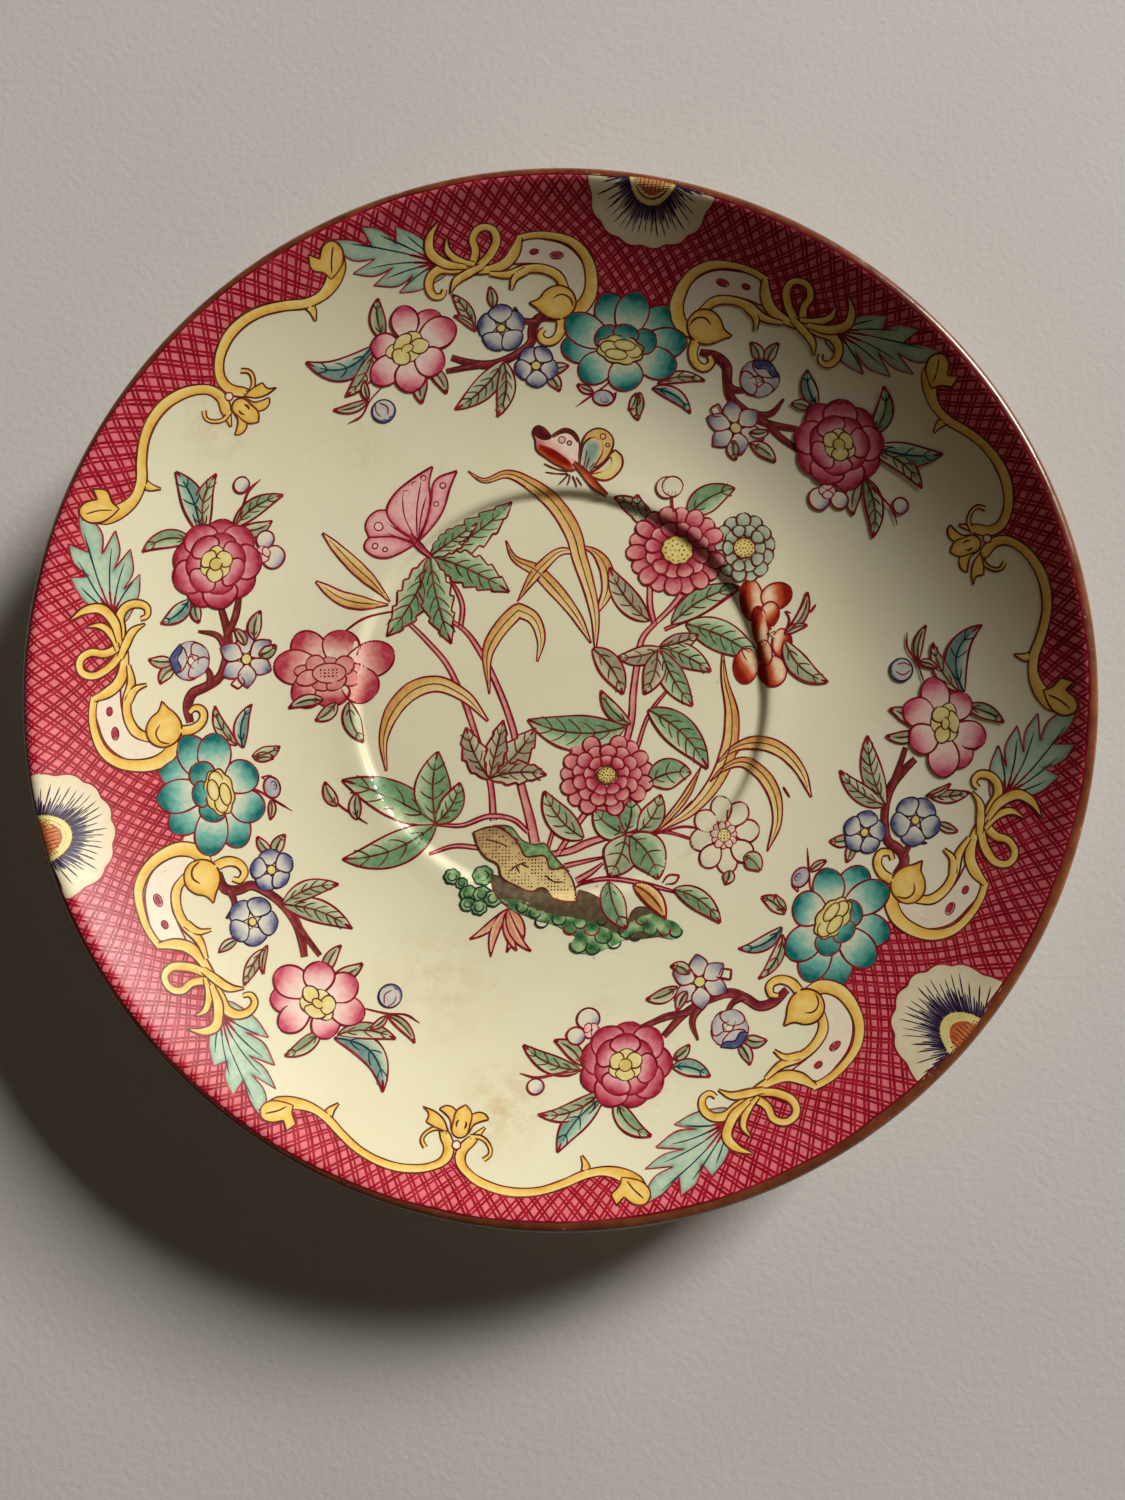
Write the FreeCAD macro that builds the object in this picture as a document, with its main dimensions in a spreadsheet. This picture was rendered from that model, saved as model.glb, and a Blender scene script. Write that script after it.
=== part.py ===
import FreeCAD, Part
import math
import os

import Sketcher

# A round porcelain tea saucer with a shallow cup well and a foot ring.
# It is one fired body under a glaze, with enamel colours fired on top in thin films.
# Origin: centre of the foot ring's resting plane. +Z up. Millimetres.

doc = FreeCAD.newDocument("saucer")

# ---------------------------------------------------------------- driving dimensions
DIMENSIONS = {
    "rim_radius": 75.0,        # outermost radius, over the painted lip
    "lip_slope": 41.0,         # degrees, slope of the dish where it meets the lip
    "wall": 2.2,               # thickness of the fired clay wall
    "glaze": 0.2,              # glaze film
    "enamel": 0.2,             # enamel film on the glaze
    "band_coat": 0.3,          # painted rim line on the glaze
    "well_radius": 30.0,       # flat floor that the cup stands on
    "step_run": 2.4,           # the ring step round the well, along the radius
    "step_rise": 1.1,
    "floor_height": 4.3,       # top of the clay floor above the resting plane
    "base_height": 1.9,        # depth of the recess inside the foot ring
    "foot_radius": 39.0,       # outer edge of the foot ring's flat
    "foot_width": 1.3,         # width of the foot ring's flat
    "foot_round": 0.6,
    "recess_round": 0.8,
    "bare_foot": 1.0,          # height of the foot ring left without glaze
    "band_angle": 1.15,        # degrees of the dish arc under the painted rim line
    "band_back": 0.9,          # degrees of the back arc under the painted rim line
    "film_start": 0.5,         # degrees, where enamel can start beside the well's step
    "ground_start": 9.0,       # degrees, innermost reach of the trellis ground
    "lobe_centre": 23.0,       # the white panel: three round lobes
    "lobe_radius": 44.0,
    "scroll_width": 3.2,
    "scroll_spread": 156.0,    # degrees of each scroll frame about its lobe's centre
    "fan_disc": 7.2,
    "fan_petal_offset": 7.3,
    "fan_petal": 1.5,
    "fan_petals": 18,
    "turquoise_distance": 53.6,
    "turquoise_disc": 4.2,
    "turquoise_petal_offset": 5.4,
    "turquoise_petal": 2.6,
    "turquoise_petals": 9,
    "rose_distance": 55.3,
    "rose_disc": 3.4,
    "rose_petal_offset": 4.2,
    "rose_petal": 1.9,
    "rose_petals": 9,
    "bloom_distance": 55.5,
    "bloom_disc": 3.4,
    "bloom_petal_offset": 4.6,
    "bloom_petal": 2.2,
    "bloom_petals": 8,
    "centre_disc": 2.9,
    "centre_petal_offset": 3.2,
    "centre_petal": 1.2,
    "centre_petals": 10,
    "cutter_height": 30.0,
}
SECTOR_AXES = (79.6, 196.6, 318.9)     # degrees, directions of the three fan rosettes
ROSE_TURN = -38.0              # degrees from the sector's axis to its rose spray
BLOOM_TURN = 35.2              # degrees from the sector's axis to its bloom spray
# The centre bouquet's flowers outside the well: direction in degrees and distance.
CENTRE_FLOWERS = [(38.1, 36.0), (16.0, 34.2), (173.9, 35.2), (-41.5, 34.6)]

dims = doc.addObject("Spreadsheet::Sheet", "dims")
for row, (alias, value) in enumerate(DIMENSIONS.items(), start=1):
    dims.set("A%d" % row, alias)
    dims.set("B%d" % row, str(value))
    dims.setAlias("B%d" % row, alias)
doc.recompute()

# ---------------------------------------------------------------- derived expressions
WALL = "dims.wall"
GLAZE = "dims.glaze"
SLOPE = "dims.lip_slope"
STEP_R = "((dims.step_run^2 + dims.step_rise^2) / (4 * dims.step_rise))"
DISH_X = "(dims.well_radius + dims.step_run)"
DISH_R = (
    "((dims.rim_radius - dims.wall / 2 - dims.glaze - dims.band_coat - %s)"
    " / sin(dims.lip_slope) - dims.wall / 2)" % DISH_X
)
DISH_Z = "(dims.floor_height + dims.step_rise + %s)" % DISH_R
FOOT_OUT = "(dims.foot_radius + dims.foot_round)"
FOOT_IN = "(dims.foot_radius - dims.foot_width - dims.foot_round)"


def on_dish(offset, angle):
    """A point on the dish arc, offset outwards from the clay's front surface."""
    reach = "(%s + %s)" % (DISH_R, offset)
    return (
        "%s + %s * sin(%s)" % (DISH_X, reach, angle),
        "%s - %s * cos(%s)" % (DISH_Z, reach, angle),
    )


def lip_tip(offset):
    """The outermost point of the round lip along the dish's own slope."""
    reach = "(%s + dims.wall / 2)" % DISH_R
    swell = "(dims.wall / 2 + %s)" % offset
    return (
        "%s + %s * sin(%s) + %s * cos(%s)" % (DISH_X, reach, SLOPE, swell, SLOPE),
        "%s - %s * cos(%s) + %s * sin(%s)" % (DISH_Z, reach, SLOPE, swell, SLOPE),
    )


def step_middle(offset):
    """The middle of the well's S-shaped step, offset along its normal."""
    return (
        "dims.well_radius + dims.step_run / 2 - %s * dims.step_run / (2 * %s)" % (offset, STEP_R),
        "dims.floor_height + dims.step_rise / 2 + %s * (1 - dims.step_rise / (2 * %s))"
        % (offset, STEP_R),
    )


def back_meets_foot(offset):
    """Where the back of the dish meets the foot ring's outer side."""
    side = "(%s + %s)" % (FOOT_OUT, offset)
    reach = "(%s + %s + %s)" % (DISH_R, WALL, offset)
    return side, "%s - sqrt(%s^2 - (%s - %s)^2)" % (DISH_Z, reach, side, DISH_X)


# ---------------------------------------------------------------- sketch helpers
def origin_plane(body, role):
    for feature in body.Origin.OriginFeatures:
        if feature.Role == role:
            return feature
    raise RuntimeError("no origin plane " + role)


def arc_centre(start, end, radius, side):
    """Centre of the arc from start to end that lies to one side: 1 left, -1 right."""
    along = end - start
    half = along.Length / 2
    rise = math.sqrt(max(radius * radius - half * half, 0.0))
    normal = FreeCAD.Vector(-along.y, along.x, 0).normalize()
    return (start + end) * 0.5 + normal * (rise * side)


def add_segment(sketch, start, end, kind, radius):
    """Adds one edge and returns its index and which of its ends is the start."""
    if kind == "line":
        return sketch.addGeometry(Part.LineSegment(start, end), False), 1, 2
    side = 1 if kind == "left" else -1
    centre = arc_centre(start, end, radius, side)
    circle = Part.Circle(centre, FreeCAD.Vector(0, 0, 1), radius)
    turn = [math.atan2(p.y - centre.y, p.x - centre.x) for p in (start, end)]
    if side == 1:
        return sketch.addGeometry(Part.ArcOfCircle(circle, turn[0], turn[1]), False), 1, 2
    return sketch.addGeometry(Part.ArcOfCircle(circle, turn[1], turn[0]), False), 2, 1


def profile_sketch(body, name, corners):
    """A closed half-section in the XZ plane. Each corner is its two expressions, then the
    kind of edge that leaves it: line, left or right, and an arc's radius expression."""
    sketch = body.newObject("Sketcher::SketchObject", name)
    sketch.AttachmentSupport = [(origin_plane(body, "XZ_Plane"), "")]
    sketch.MapMode = "FlatFace"
    points = []
    for corner in corners:
        x, z = (float(dims.evalExpression(text)) for text in corner[:2])
        points.append(FreeCAD.Vector(x, z, 0))
    edges = []
    for i, corner in enumerate(corners):
        kind = corner[2]
        radius = float(dims.evalExpression(corner[3])) if kind != "line" else None
        after = points[(i + 1) % len(points)]
        edges.append(add_segment(sketch, points[i], after, kind, radius))
    for i, (edge, start, end) in enumerate(edges):
        following = edges[(i + 1) % len(edges)]
        sketch.addConstraint(Sketcher.Constraint("Coincident", edge, end, following[0], following[1]))
    for i, (edge, start, end) in enumerate(edges):
        bind_corner(sketch, "corner%d" % i, edge, start, points[i], corners[i])
        if corners[i][2] != "line":
            bind_radius(sketch, "round%d" % i, edge, corners[i][3])
    return sketch


def bind_corner(sketch, name, edge, end, point, corner):
    if abs(point.x) < 1e-9:
        sketch.addConstraint(Sketcher.Constraint("PointOnObject", edge, end, -2))
    else:
        added = sketch.addConstraint(Sketcher.Constraint("DistanceX", -1, 1, edge, end, point.x))
        sketch.renameConstraint(added, name + "_x")
        sketch.setExpression("Constraints.%s_x" % name, corner[0])
    if abs(point.y) < 1e-9:
        sketch.addConstraint(Sketcher.Constraint("PointOnObject", edge, end, -1))
    else:
        added = sketch.addConstraint(Sketcher.Constraint("DistanceY", -1, 1, edge, end, point.y))
        sketch.renameConstraint(added, name + "_y")
        sketch.setExpression("Constraints.%s_y" % name, corner[1])


def bind_radius(sketch, name, edge, expression):
    value = float(dims.evalExpression(expression))
    added = sketch.addConstraint(Sketcher.Constraint("Radius", edge, value))
    sketch.renameConstraint(added, name)
    sketch.setExpression("Constraints.%s" % name, expression)


def turned_body(label, corners):
    """A body of revolution about Z from a half-section."""
    body = doc.addObject("PartDesign::Body", label)
    body.Label = label
    sketch = profile_sketch(body, label + "_section", corners)
    turned = body.newObject("PartDesign::Revolution", label + "_turned")
    turned.Profile = sketch
    turned.ReferenceAxis = (sketch, ["V_Axis"])
    turned.Angle = 360.0
    body.Tip = turned
    doc.recompute()
    return body


# ---------------------------------------------------------------- turned pieces
def make_biscuit_body():
    """The fired clay: well, step, dish, round lip, back and foot ring."""
    tip = lip_tip("0")
    corners = [
        ("0", "dims.floor_height", "line"),
        ("dims.well_radius", "dims.floor_height", "left", STEP_R),
        step_middle("0") + ("right", STEP_R),
        (DISH_X, "dims.floor_height + dims.step_rise", "left", DISH_R),
        on_dish("0", SLOPE) + ("right", "dims.wall / 2"),
        tip + ("right", "dims.wall / 2"),
        on_dish(WALL, SLOPE) + ("right", "%s + %s" % (DISH_R, WALL)),
        back_meets_foot("0") + ("line",),
        (FOOT_OUT, "dims.foot_round", "right", "dims.foot_round"),
        ("dims.foot_radius", "0", "line"),
        ("dims.foot_radius - dims.foot_width", "0", "right", "dims.foot_round"),
        (FOOT_IN, "dims.foot_round", "line"),
        (FOOT_IN, "dims.base_height - dims.recess_round", "left", "dims.recess_round"),
        ("%s - dims.recess_round" % FOOT_IN, "dims.base_height", "line"),
        ("0", "dims.base_height", "line"),
    ]
    return turned_body("biscuit_body", corners)


def make_glaze_coat():
    """The clear glaze over the front, round the lip and down the back to the foot ring."""
    corners = [
        ("0", "dims.floor_height + dims.glaze", "line"),
        ("dims.well_radius", "dims.floor_height + dims.glaze", "left", "%s - dims.glaze" % STEP_R),
        step_middle(GLAZE) + ("right", "%s + dims.glaze" % STEP_R),
        (DISH_X, "dims.floor_height + dims.step_rise + dims.glaze", "left",
         "%s - dims.glaze" % DISH_R),
        on_dish("-dims.glaze", SLOPE) + ("right", "dims.wall / 2 + dims.glaze"),
        lip_tip(GLAZE) + ("right", "dims.wall / 2 + dims.glaze"),
        on_dish("dims.wall + dims.glaze", SLOPE)
        + ("right", "%s + dims.wall + dims.glaze" % DISH_R),
        back_meets_foot(GLAZE) + ("line",),
        ("%s + dims.glaze" % FOOT_OUT, "dims.bare_foot", "line"),
        (FOOT_OUT, "dims.bare_foot", "line"),
        back_meets_foot("0") + ("left", "%s + dims.wall" % DISH_R),
        on_dish(WALL, SLOPE) + ("left", "dims.wall / 2"),
        lip_tip("0") + ("left", "dims.wall / 2"),
        on_dish("0", SLOPE) + ("right", DISH_R),
        (DISH_X, "dims.floor_height + dims.step_rise", "left", STEP_R),
        step_middle("0") + ("right", STEP_R),
        ("dims.well_radius", "dims.floor_height", "line"),
        ("0", "dims.floor_height", "line"),
    ]
    return turned_body("glaze_coat", corners)


def make_foot_glaze():
    """The glaze inside the foot ring, a shallow pan under the floor."""
    corners = [
        ("0", "dims.base_height - dims.glaze", "line"),
        ("%s - dims.recess_round" % FOOT_IN, "dims.base_height - dims.glaze", "right",
         "dims.recess_round - dims.glaze"),
        ("%s - dims.glaze" % FOOT_IN, "dims.base_height - dims.recess_round", "line"),
        ("%s - dims.glaze" % FOOT_IN, "dims.bare_foot", "line"),
        (FOOT_IN, "dims.bare_foot", "line"),
        (FOOT_IN, "dims.base_height - dims.recess_round", "left", "dims.recess_round"),
        ("%s - dims.recess_round" % FOOT_IN, "dims.base_height", "line"),
        ("0", "dims.base_height", "line"),
    ]
    return turned_body("foot_glaze", corners)


def make_rim_line():
    """The hand-banded colour over the lip."""
    front = "dims.lip_slope - dims.band_angle"
    back = "dims.lip_slope - dims.band_back"
    outside = "(dims.glaze + dims.band_coat)"
    corners = [
        on_dish("-%s" % outside, front) + ("left", "%s - %s" % (DISH_R, outside)),
        on_dish("-%s" % outside, SLOPE) + ("right", "dims.wall / 2 + %s" % outside),
        lip_tip(outside) + ("right", "dims.wall / 2 + %s" % outside),
        on_dish("dims.wall + %s" % outside, SLOPE)
        + ("right", "%s + dims.wall + %s" % (DISH_R, outside)),
        on_dish("dims.wall + %s" % outside, back) + ("line",),
        on_dish("dims.wall + dims.glaze", back) + ("left", "%s + dims.wall + dims.glaze" % DISH_R),
        on_dish("dims.wall + dims.glaze", SLOPE) + ("left", "dims.wall / 2 + dims.glaze"),
        lip_tip(GLAZE) + ("left", "dims.wall / 2 + dims.glaze"),
        on_dish("-dims.glaze", SLOPE) + ("right", "%s - dims.glaze" % DISH_R),
        on_dish("-dims.glaze", front) + ("line",),
    ]
    return turned_body("rim_line", corners)


def make_film(label, start):
    """An enamel film on the dish, from a start angle out to the rim line."""
    end = "dims.lip_slope - dims.band_angle"
    outside = "(dims.glaze + dims.enamel)"
    corners = [
        on_dish("-dims.glaze", start) + ("left", "%s - dims.glaze" % DISH_R),
        on_dish("-dims.glaze", end) + ("line",),
        on_dish("-%s" % outside, end) + ("right", "%s - %s" % (DISH_R, outside)),
        on_dish("-%s" % outside, start) + ("line",),
    ]
    return turned_body(label, corners)


# ---------------------------------------------------------------- enamel outlines
def circle_pad(body, name, distance, offset, radius):
    """A round pad standing through the dish, its sketch's origin at the flower's centre."""
    sketch = body.newObject("Sketcher::SketchObject", name)
    sketch.AttachmentSupport = [(origin_plane(body, "XY_Plane"), "")]
    sketch.MapMode = "FlatFace"
    sketch.setExpression(".AttachmentOffset.Base.x", distance)
    shift = float(dims.evalExpression(offset))
    size = float(dims.evalExpression(radius))
    circle = Part.Circle(FreeCAD.Vector(shift, 0, 0), FreeCAD.Vector(0, 0, 1), size)
    sketch.addGeometry(circle, False)
    sketch.addConstraint(Sketcher.Constraint("PointOnObject", 0, 3, -1))
    if shift > 0:
        added = sketch.addConstraint(Sketcher.Constraint("DistanceX", -1, 1, 0, 3, shift))
        sketch.renameConstraint(added, "offset")
        sketch.setExpression("Constraints.offset", offset)
    else:
        sketch.addConstraint(Sketcher.Constraint("PointOnObject", 0, 3, -2))
    added = sketch.addConstraint(Sketcher.Constraint("Radius", 0, size))
    sketch.renameConstraint(added, "size")
    sketch.setExpression("Constraints.size", radius)
    pad = body.newObject("PartDesign::Pad", name + "_pad")
    pad.Profile = sketch
    pad.setExpression("Length", "dims.cutter_height")
    body.Tip = pad
    doc.recompute()
    return sketch, pad


def flower_outline(name, distance, angle, size):
    """A round flower outline: a disc with a ring of petals. size is the dimensions' prefix."""
    body = doc.addObject("PartDesign::Body", name)
    circle_pad(body, name + "_disc", distance, "0", "dims.%s_disc" % size)
    sketch, petal = circle_pad(
        body, name + "_petal", distance, "dims.%s_petal_offset" % size, "dims.%s_petal" % size
    )
    ring = body.newObject("PartDesign::PolarPattern", name + "_ring")
    ring.Originals = [petal]
    ring.Axis = (sketch, ["N_Axis"])
    ring.Angle = 360.0
    ring.setExpression("Occurrences", "dims.%s_petals" % size)
    body.Tip = ring
    body.Placement = FreeCAD.Placement(
        FreeCAD.Vector(0, 0, 0), FreeCAD.Rotation(FreeCAD.Vector(0, 0, 1), angle)
    )
    doc.recompute()
    return body


def at_angle(distance, angle, turn):
    """A placement at a distance and direction from the axis, then turned about Z."""
    way = math.radians(angle)
    reach = float(dims.evalExpression(distance))
    place = FreeCAD.Vector(reach * math.cos(way), reach * math.sin(way), 0)
    return FreeCAD.Placement(place, FreeCAD.Rotation(FreeCAD.Vector(0, 0, 1), turn))


def lobe_cylinder(name, angle, radius, spread=None):
    """A cylinder over one lobe of the white panel, or a sector of it."""
    cylinder = doc.addObject("Part::Cylinder", name)
    cylinder.setExpression("Radius", radius)
    cylinder.setExpression("Height", "dims.cutter_height")
    turn = angle
    if spread is not None:
        cylinder.setExpression("Angle", spread)
        turn = angle - float(dims.evalExpression(spread)) / 2
    cylinder.Placement = at_angle("dims.lobe_centre", angle, turn)
    return cylinder


def common(label, base, tool):
    piece = doc.addObject("Part::Common", label)
    piece.Label = label
    piece.Base = base
    piece.Tool = tool
    return piece


def cut(label, base, tool):
    piece = doc.addObject("Part::Cut", label)
    piece.Label = label
    piece.Base = base
    piece.Tool = tool
    return piece


def fuse(label, tools):
    piece = doc.addObject("Part::MultiFuse", label)
    piece.Shapes = tools
    return piece


def next_axis(number):
    """The direction of the sector that follows the one with this number."""
    turns, index = divmod(number, len(SECTOR_AXES))
    return SECTOR_AXES[index] + 360.0 * turns


def make_enamels():
    """The enamel films: fans, flowers, scroll frames, trellis ground and centre flowers."""
    film = make_film("film_all", "dims.film_start")
    band = make_film("film_border", "dims.ground_start")
    pieces = []
    fans = []
    flowers = []
    lobes = []
    frames = []
    for number, axis in enumerate(SECTOR_AXES, start=1):
        between = (axis + next_axis(number)) / 2
        fans.append(flower_outline("fan_outline_%d" % number, "dims.rim_radius", axis, "fan"))
        flowers.append(flower_outline(
            "turquoise_outline_%d" % number, "dims.turquoise_distance", axis, "turquoise"))
        lobes.append(lobe_cylinder("lobe_%d" % number, between, "dims.lobe_radius"))
        frames.append(lobe_cylinder(
            "scroll_sector_%d" % number, between, "dims.lobe_radius + dims.scroll_width",
            "dims.scroll_spread"))
    panel = fuse("white_panel", lobes)
    flower_field = fuse("flower_field", flowers)
    for number, axis in enumerate(SECTOR_AXES, start=1):
        pieces.append(common("fan_rosette_%d" % number, band, fans[number - 1]))
        pieces.append(common("turquoise_flower_%d" % number, film, flowers[number - 1]))
        outline = cut("scroll_outline_%d" % number, frames[number - 1], panel)
        clear = cut("scroll_clear_%d" % number, outline, flower_field)
        pieces.append(common("scroll_frame_%d" % number, band, clear))
        rose = flower_outline(
            "rose_outline_%d" % number, "dims.rose_distance", axis + ROSE_TURN, "rose")
        pieces.append(common("rose_spray_%d" % number, film, rose))
        bloom = flower_outline(
            "bloom_outline_%d" % number, "dims.bloom_distance", axis + BLOOM_TURN, "bloom")
        pieces.append(common("bloom_spray_%d" % number, film, bloom))
    holes = fuse("ground_holes", [panel, flower_field] + fans + frames)
    pieces.append(cut("border_ground", band, holes))
    centre = []
    for number, (angle, distance) in enumerate(CENTRE_FLOWERS, start=1):
        centre.append(flower_outline("centre_outline_%d" % number, str(distance), angle, "centre"))
    pieces.append(common("centre_flowers", film, fuse("centre_field", centre)))
    doc.recompute()
    return pieces


# ---------------------------------------------------------------- check and write
def check_document(pieces):
    for item in doc.Objects:
        if "Invalid" in item.State or "Error" in item.State:
            raise RuntimeError("failed object " + item.Name)
    for piece in pieces:
        if piece.Shape.isNull() or not piece.Shape.isValid() or piece.Shape.Volume <= 0:
            raise RuntimeError("bad shape " + piece.Label)


def main():
    pieces = [make_biscuit_body(), make_glaze_coat(), make_foot_glaze(), make_rim_line()]
    pieces += make_enamels()
    doc.recompute()
    check_document(pieces)
    os.makedirs("parts", exist_ok=True)
    for piece in pieces:
        piece.Shape.exportStep("parts/%s.step" % piece.Label)
        box = piece.Shape.BoundBox
        print("%-22s solids %d volume %9.2f z %.2f to %.2f r %.2f" % (
            piece.Label, len(piece.Shape.Solids), piece.Shape.Volume, box.ZMin, box.ZMax, box.XMax))


main()
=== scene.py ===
"""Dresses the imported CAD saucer: turned glazed skin, hand-painted enamels, light, floor and camera."""

import math
import random

import bpy
import numpy as np
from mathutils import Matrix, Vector
from mathutils.geometry import delaunay_2d_cdt


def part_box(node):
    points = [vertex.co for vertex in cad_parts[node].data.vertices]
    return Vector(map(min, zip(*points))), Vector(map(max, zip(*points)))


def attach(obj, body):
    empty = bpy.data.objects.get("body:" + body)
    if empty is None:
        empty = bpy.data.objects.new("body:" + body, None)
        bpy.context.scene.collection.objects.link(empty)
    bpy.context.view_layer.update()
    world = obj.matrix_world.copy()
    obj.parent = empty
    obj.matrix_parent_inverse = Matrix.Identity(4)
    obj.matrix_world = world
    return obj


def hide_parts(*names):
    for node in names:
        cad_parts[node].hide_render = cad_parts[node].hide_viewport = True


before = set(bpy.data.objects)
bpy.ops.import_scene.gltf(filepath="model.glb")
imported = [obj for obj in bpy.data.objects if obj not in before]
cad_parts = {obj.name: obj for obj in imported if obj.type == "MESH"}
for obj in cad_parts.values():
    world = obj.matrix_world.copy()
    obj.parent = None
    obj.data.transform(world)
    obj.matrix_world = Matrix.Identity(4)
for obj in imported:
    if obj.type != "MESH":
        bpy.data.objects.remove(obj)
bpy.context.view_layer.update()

MM = 0.001
TAU = 2 * math.pi
rng = random.Random(1863)

# ---------------------------------------------------------------- drawing sizes, in millimetres
BASE_LIFT = 0.085       # lowest painted layer above the glaze
LAYER = 0.012           # each later shape sits this much higher
INK_LIFT = 0.009        # printed lines above the colour they edge
DOME = 0.03             # how far a patch of enamel swells between its edges
RELIEF = 0.32           # every height above the glaze is scaled by this where it is laid on the dish
STEP = 0.35             # spacing of points along drawn curves
INK = 0.29              # usual width of a printed line
RIM_INNER = 73.35       # radius from which drawing keeps its plan radius
PRINT_END = 74.45       # radius where the print ends, under the rim band
LIP_START = 72.2        # radius where the dish turns over into the lip
TRELLIS_COUNT = 197     # lines of one family round the whole rim
TRELLIS_SLANT = 0.417   # turns of trellis phase per millimetre of radius
TRELLIS_PAIR = 0.15     # the two strokes of a line stand this far either side of it, in turns of phase
TRELLIS_INK = 0.32      # width of those strokes
SCROLL_FULLNESS = 1.24  # yellow scroll bands are drawn this much wider than their plan
SEAM_LAP = 0.28         # degrees by which neighbouring stretches of ground overlap
# The brown band was brushed by hand: its width on the upper side of the lip, by direction in degrees.
BAND_WIDTHS = ((0, 1.83), (56, 1.78), (90, 1.62), (135, 1.66), (160, 1.1), (185, 0.78), (225, 1.28),
               (270, 1.85), (314, 2.07), (360, 1.83))
SEGMENTS = 480          # divisions round the turned skin
UNDER_SEGMENTS = 240    # and round the clay body and the recess in the foot
SMOOTH_TURN = 30        # degrees: sharper turns in a turned outline stay sharp
SKIN_CREASE = 40        # degrees: faces of a turned piece that meet more sharply are not shaded smooth
SKIN_TURN_IN = 0.2      # the skin's last ring, by which its lower edge turns in

# ---------------------------------------------------------------- the eye the drawing was planned for
# Motifs are drawn on a flat plan in the plane of the rim, as they look from the eye, then carried down
# the lines of sight onto the dish. The camera stands at the same eye.
EYE = np.array((1.05, -25.6, 175.0))
EYE_TILT = (0.098, 0.004)                          # radians about x, then y
RIM_MID = np.array((-0.00302, 0.04188))            # slope of the sight line to the plan's centre, at the rim
WELL_MID = np.array((0.00044, 0.04880))            # the same for drawing in the well
PLAN_VIEW = np.array(((0.0063437, 0.0000615), (0.0000615, 0.0063437)))    # sight slope per mm of plan
WELL_PLAN_RADIUS = 27.0     # plan radius at which drawing takes the well's sight line
WELL_BLEND = 48.0           # over this many mm more it changes to the rim's
KEEP_FROM = 64.0            # from here to RIM_INNER drawing comes to keep its plan radius
SETTLE_STEPS = 16           # rounds in which a sight line finds the dish
PLAN_STEPS = 4              # and the plan point of a place on the dish


# ---------------------------------------------------------------- reading the CAD's own outline
def seam_path(node):
    """(radius, height) points in mm along a turned CAD node's seam, in order."""
    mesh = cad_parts[node].data
    co = np.array([v.co for v in mesh.vertices]) / MM
    on_seam = np.nonzero((np.abs(co[:, 1]) < 2e-3) & (co[:, 0] > 1))[0]
    key = {int(i): (round(float(co[i, 0]), 2), round(float(co[i, 2]), 2)) for i in on_seam}
    links = {}
    for edge in mesh.edges:
        a, b = edge.vertices
        if a in key and b in key and key[a] != key[b]:
            links.setdefault(key[a], set()).add(key[b])
            links.setdefault(key[b], set()).add(key[a])
    left = set(links)
    ends = [k for k in left if len(links[k]) == 1] or list(left)
    path = [max(ends, key=lambda k: (k[1], k[0]))]
    left.discard(path[0])
    while True:
        ahead = [k for k in sorted(links[path[-1]]) if k in left]
        if not ahead:
            return path
        path.append(ahead[0])
        left.discard(ahead[0])


def refine(points, step, closed=False, turn=70.0):
    """A smooth curve through the points, broken only where it turns by more than turn degrees."""
    p = np.array(points, float)
    if closed:
        p = np.vstack([p, p[:1]])
    d = np.diff(p, axis=0)
    size = np.hypot(d[:, 0], d[:, 1])
    keep = np.concatenate([[True], size > 1e-6])
    p = p[keep]
    d = np.diff(p, axis=0)
    size = np.hypot(d[:, 0], d[:, 1])
    u = d / size[:, None]
    before = np.vstack([u[-1:] if closed else u[:1], u])
    after = np.vstack([u, u[:1] if closed else u[-1:]])
    size_before = np.concatenate([size[-1:] if closed else size[:1], size])
    size_after = np.concatenate([size, size[:1] if closed else size[-1:]])
    mean = before * size_after[:, None] + after * size_before[:, None]
    mean /= np.maximum(np.hypot(mean[:, 0], mean[:, 1]), 1e-9)[:, None]
    sharp = (before * after).sum(1) < math.cos(math.radians(turn))
    leave = np.where(sharp[:, None], after, mean)
    arrive = np.where(sharp[:, None], before, mean)
    out = []
    for i in range(len(size)):
        n = max(1, int(math.ceil(size[i] / step)))
        t = (np.arange(n) / n)[:, None]
        m0, m1 = leave[i] * size[i], arrive[i + 1] * size[i]
        out.append((2 * t**3 - 3 * t**2 + 1) * p[i] + (t**3 - 2 * t**2 + t) * m0
                   + (3 * t**2 - 2 * t**3) * p[i + 1] + (t**3 - t**2) * m1)
    if not closed:
        out.append(p[-1:])
    return np.vstack(out)


GLAZE_PATH = seam_path("glaze_coat")
GLAZE_OUTER = GLAZE_PATH[:[i for i, q in enumerate(GLAZE_PATH) if q[1] <= 1.001][0] + 1]
FLOOR_Z = GLAZE_OUTER[0][1]
SKIN = refine(GLAZE_OUTER, 0.9, turn=SMOOTH_TURN)
FINE = refine(GLAZE_OUTER, 0.1, turn=SMOOTH_TURN)
LIP_TOP = int(np.argmax(FINE[:, 1]))
WIDEST = int(np.argmax(FINE[:, 0]))
TOP_R, TOP_Z = FINE[:WIDEST + 1, 0], FINE[:WIDEST + 1, 1]
RIM_RADIUS = float(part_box("rim_line")[1][0]) / MM


def height(r):
    """Height of the painted face above the table, in mm, at a radius in mm."""
    return np.interp(r, TOP_R, TOP_Z)


def turn_matrix(about_x, about_y):
    """The matrix of a turn about x, then about y, in radians."""
    cx, sx, cy, sy = math.cos(about_x), math.sin(about_x), math.cos(about_y), math.sin(about_y)
    return np.array(((cy, sy * sx, sy * cx), (0.0, cx, -sx), (-sy, cy * sx, cy * cx)))


VIEW = turn_matrix(*EYE_TILT)


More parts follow.
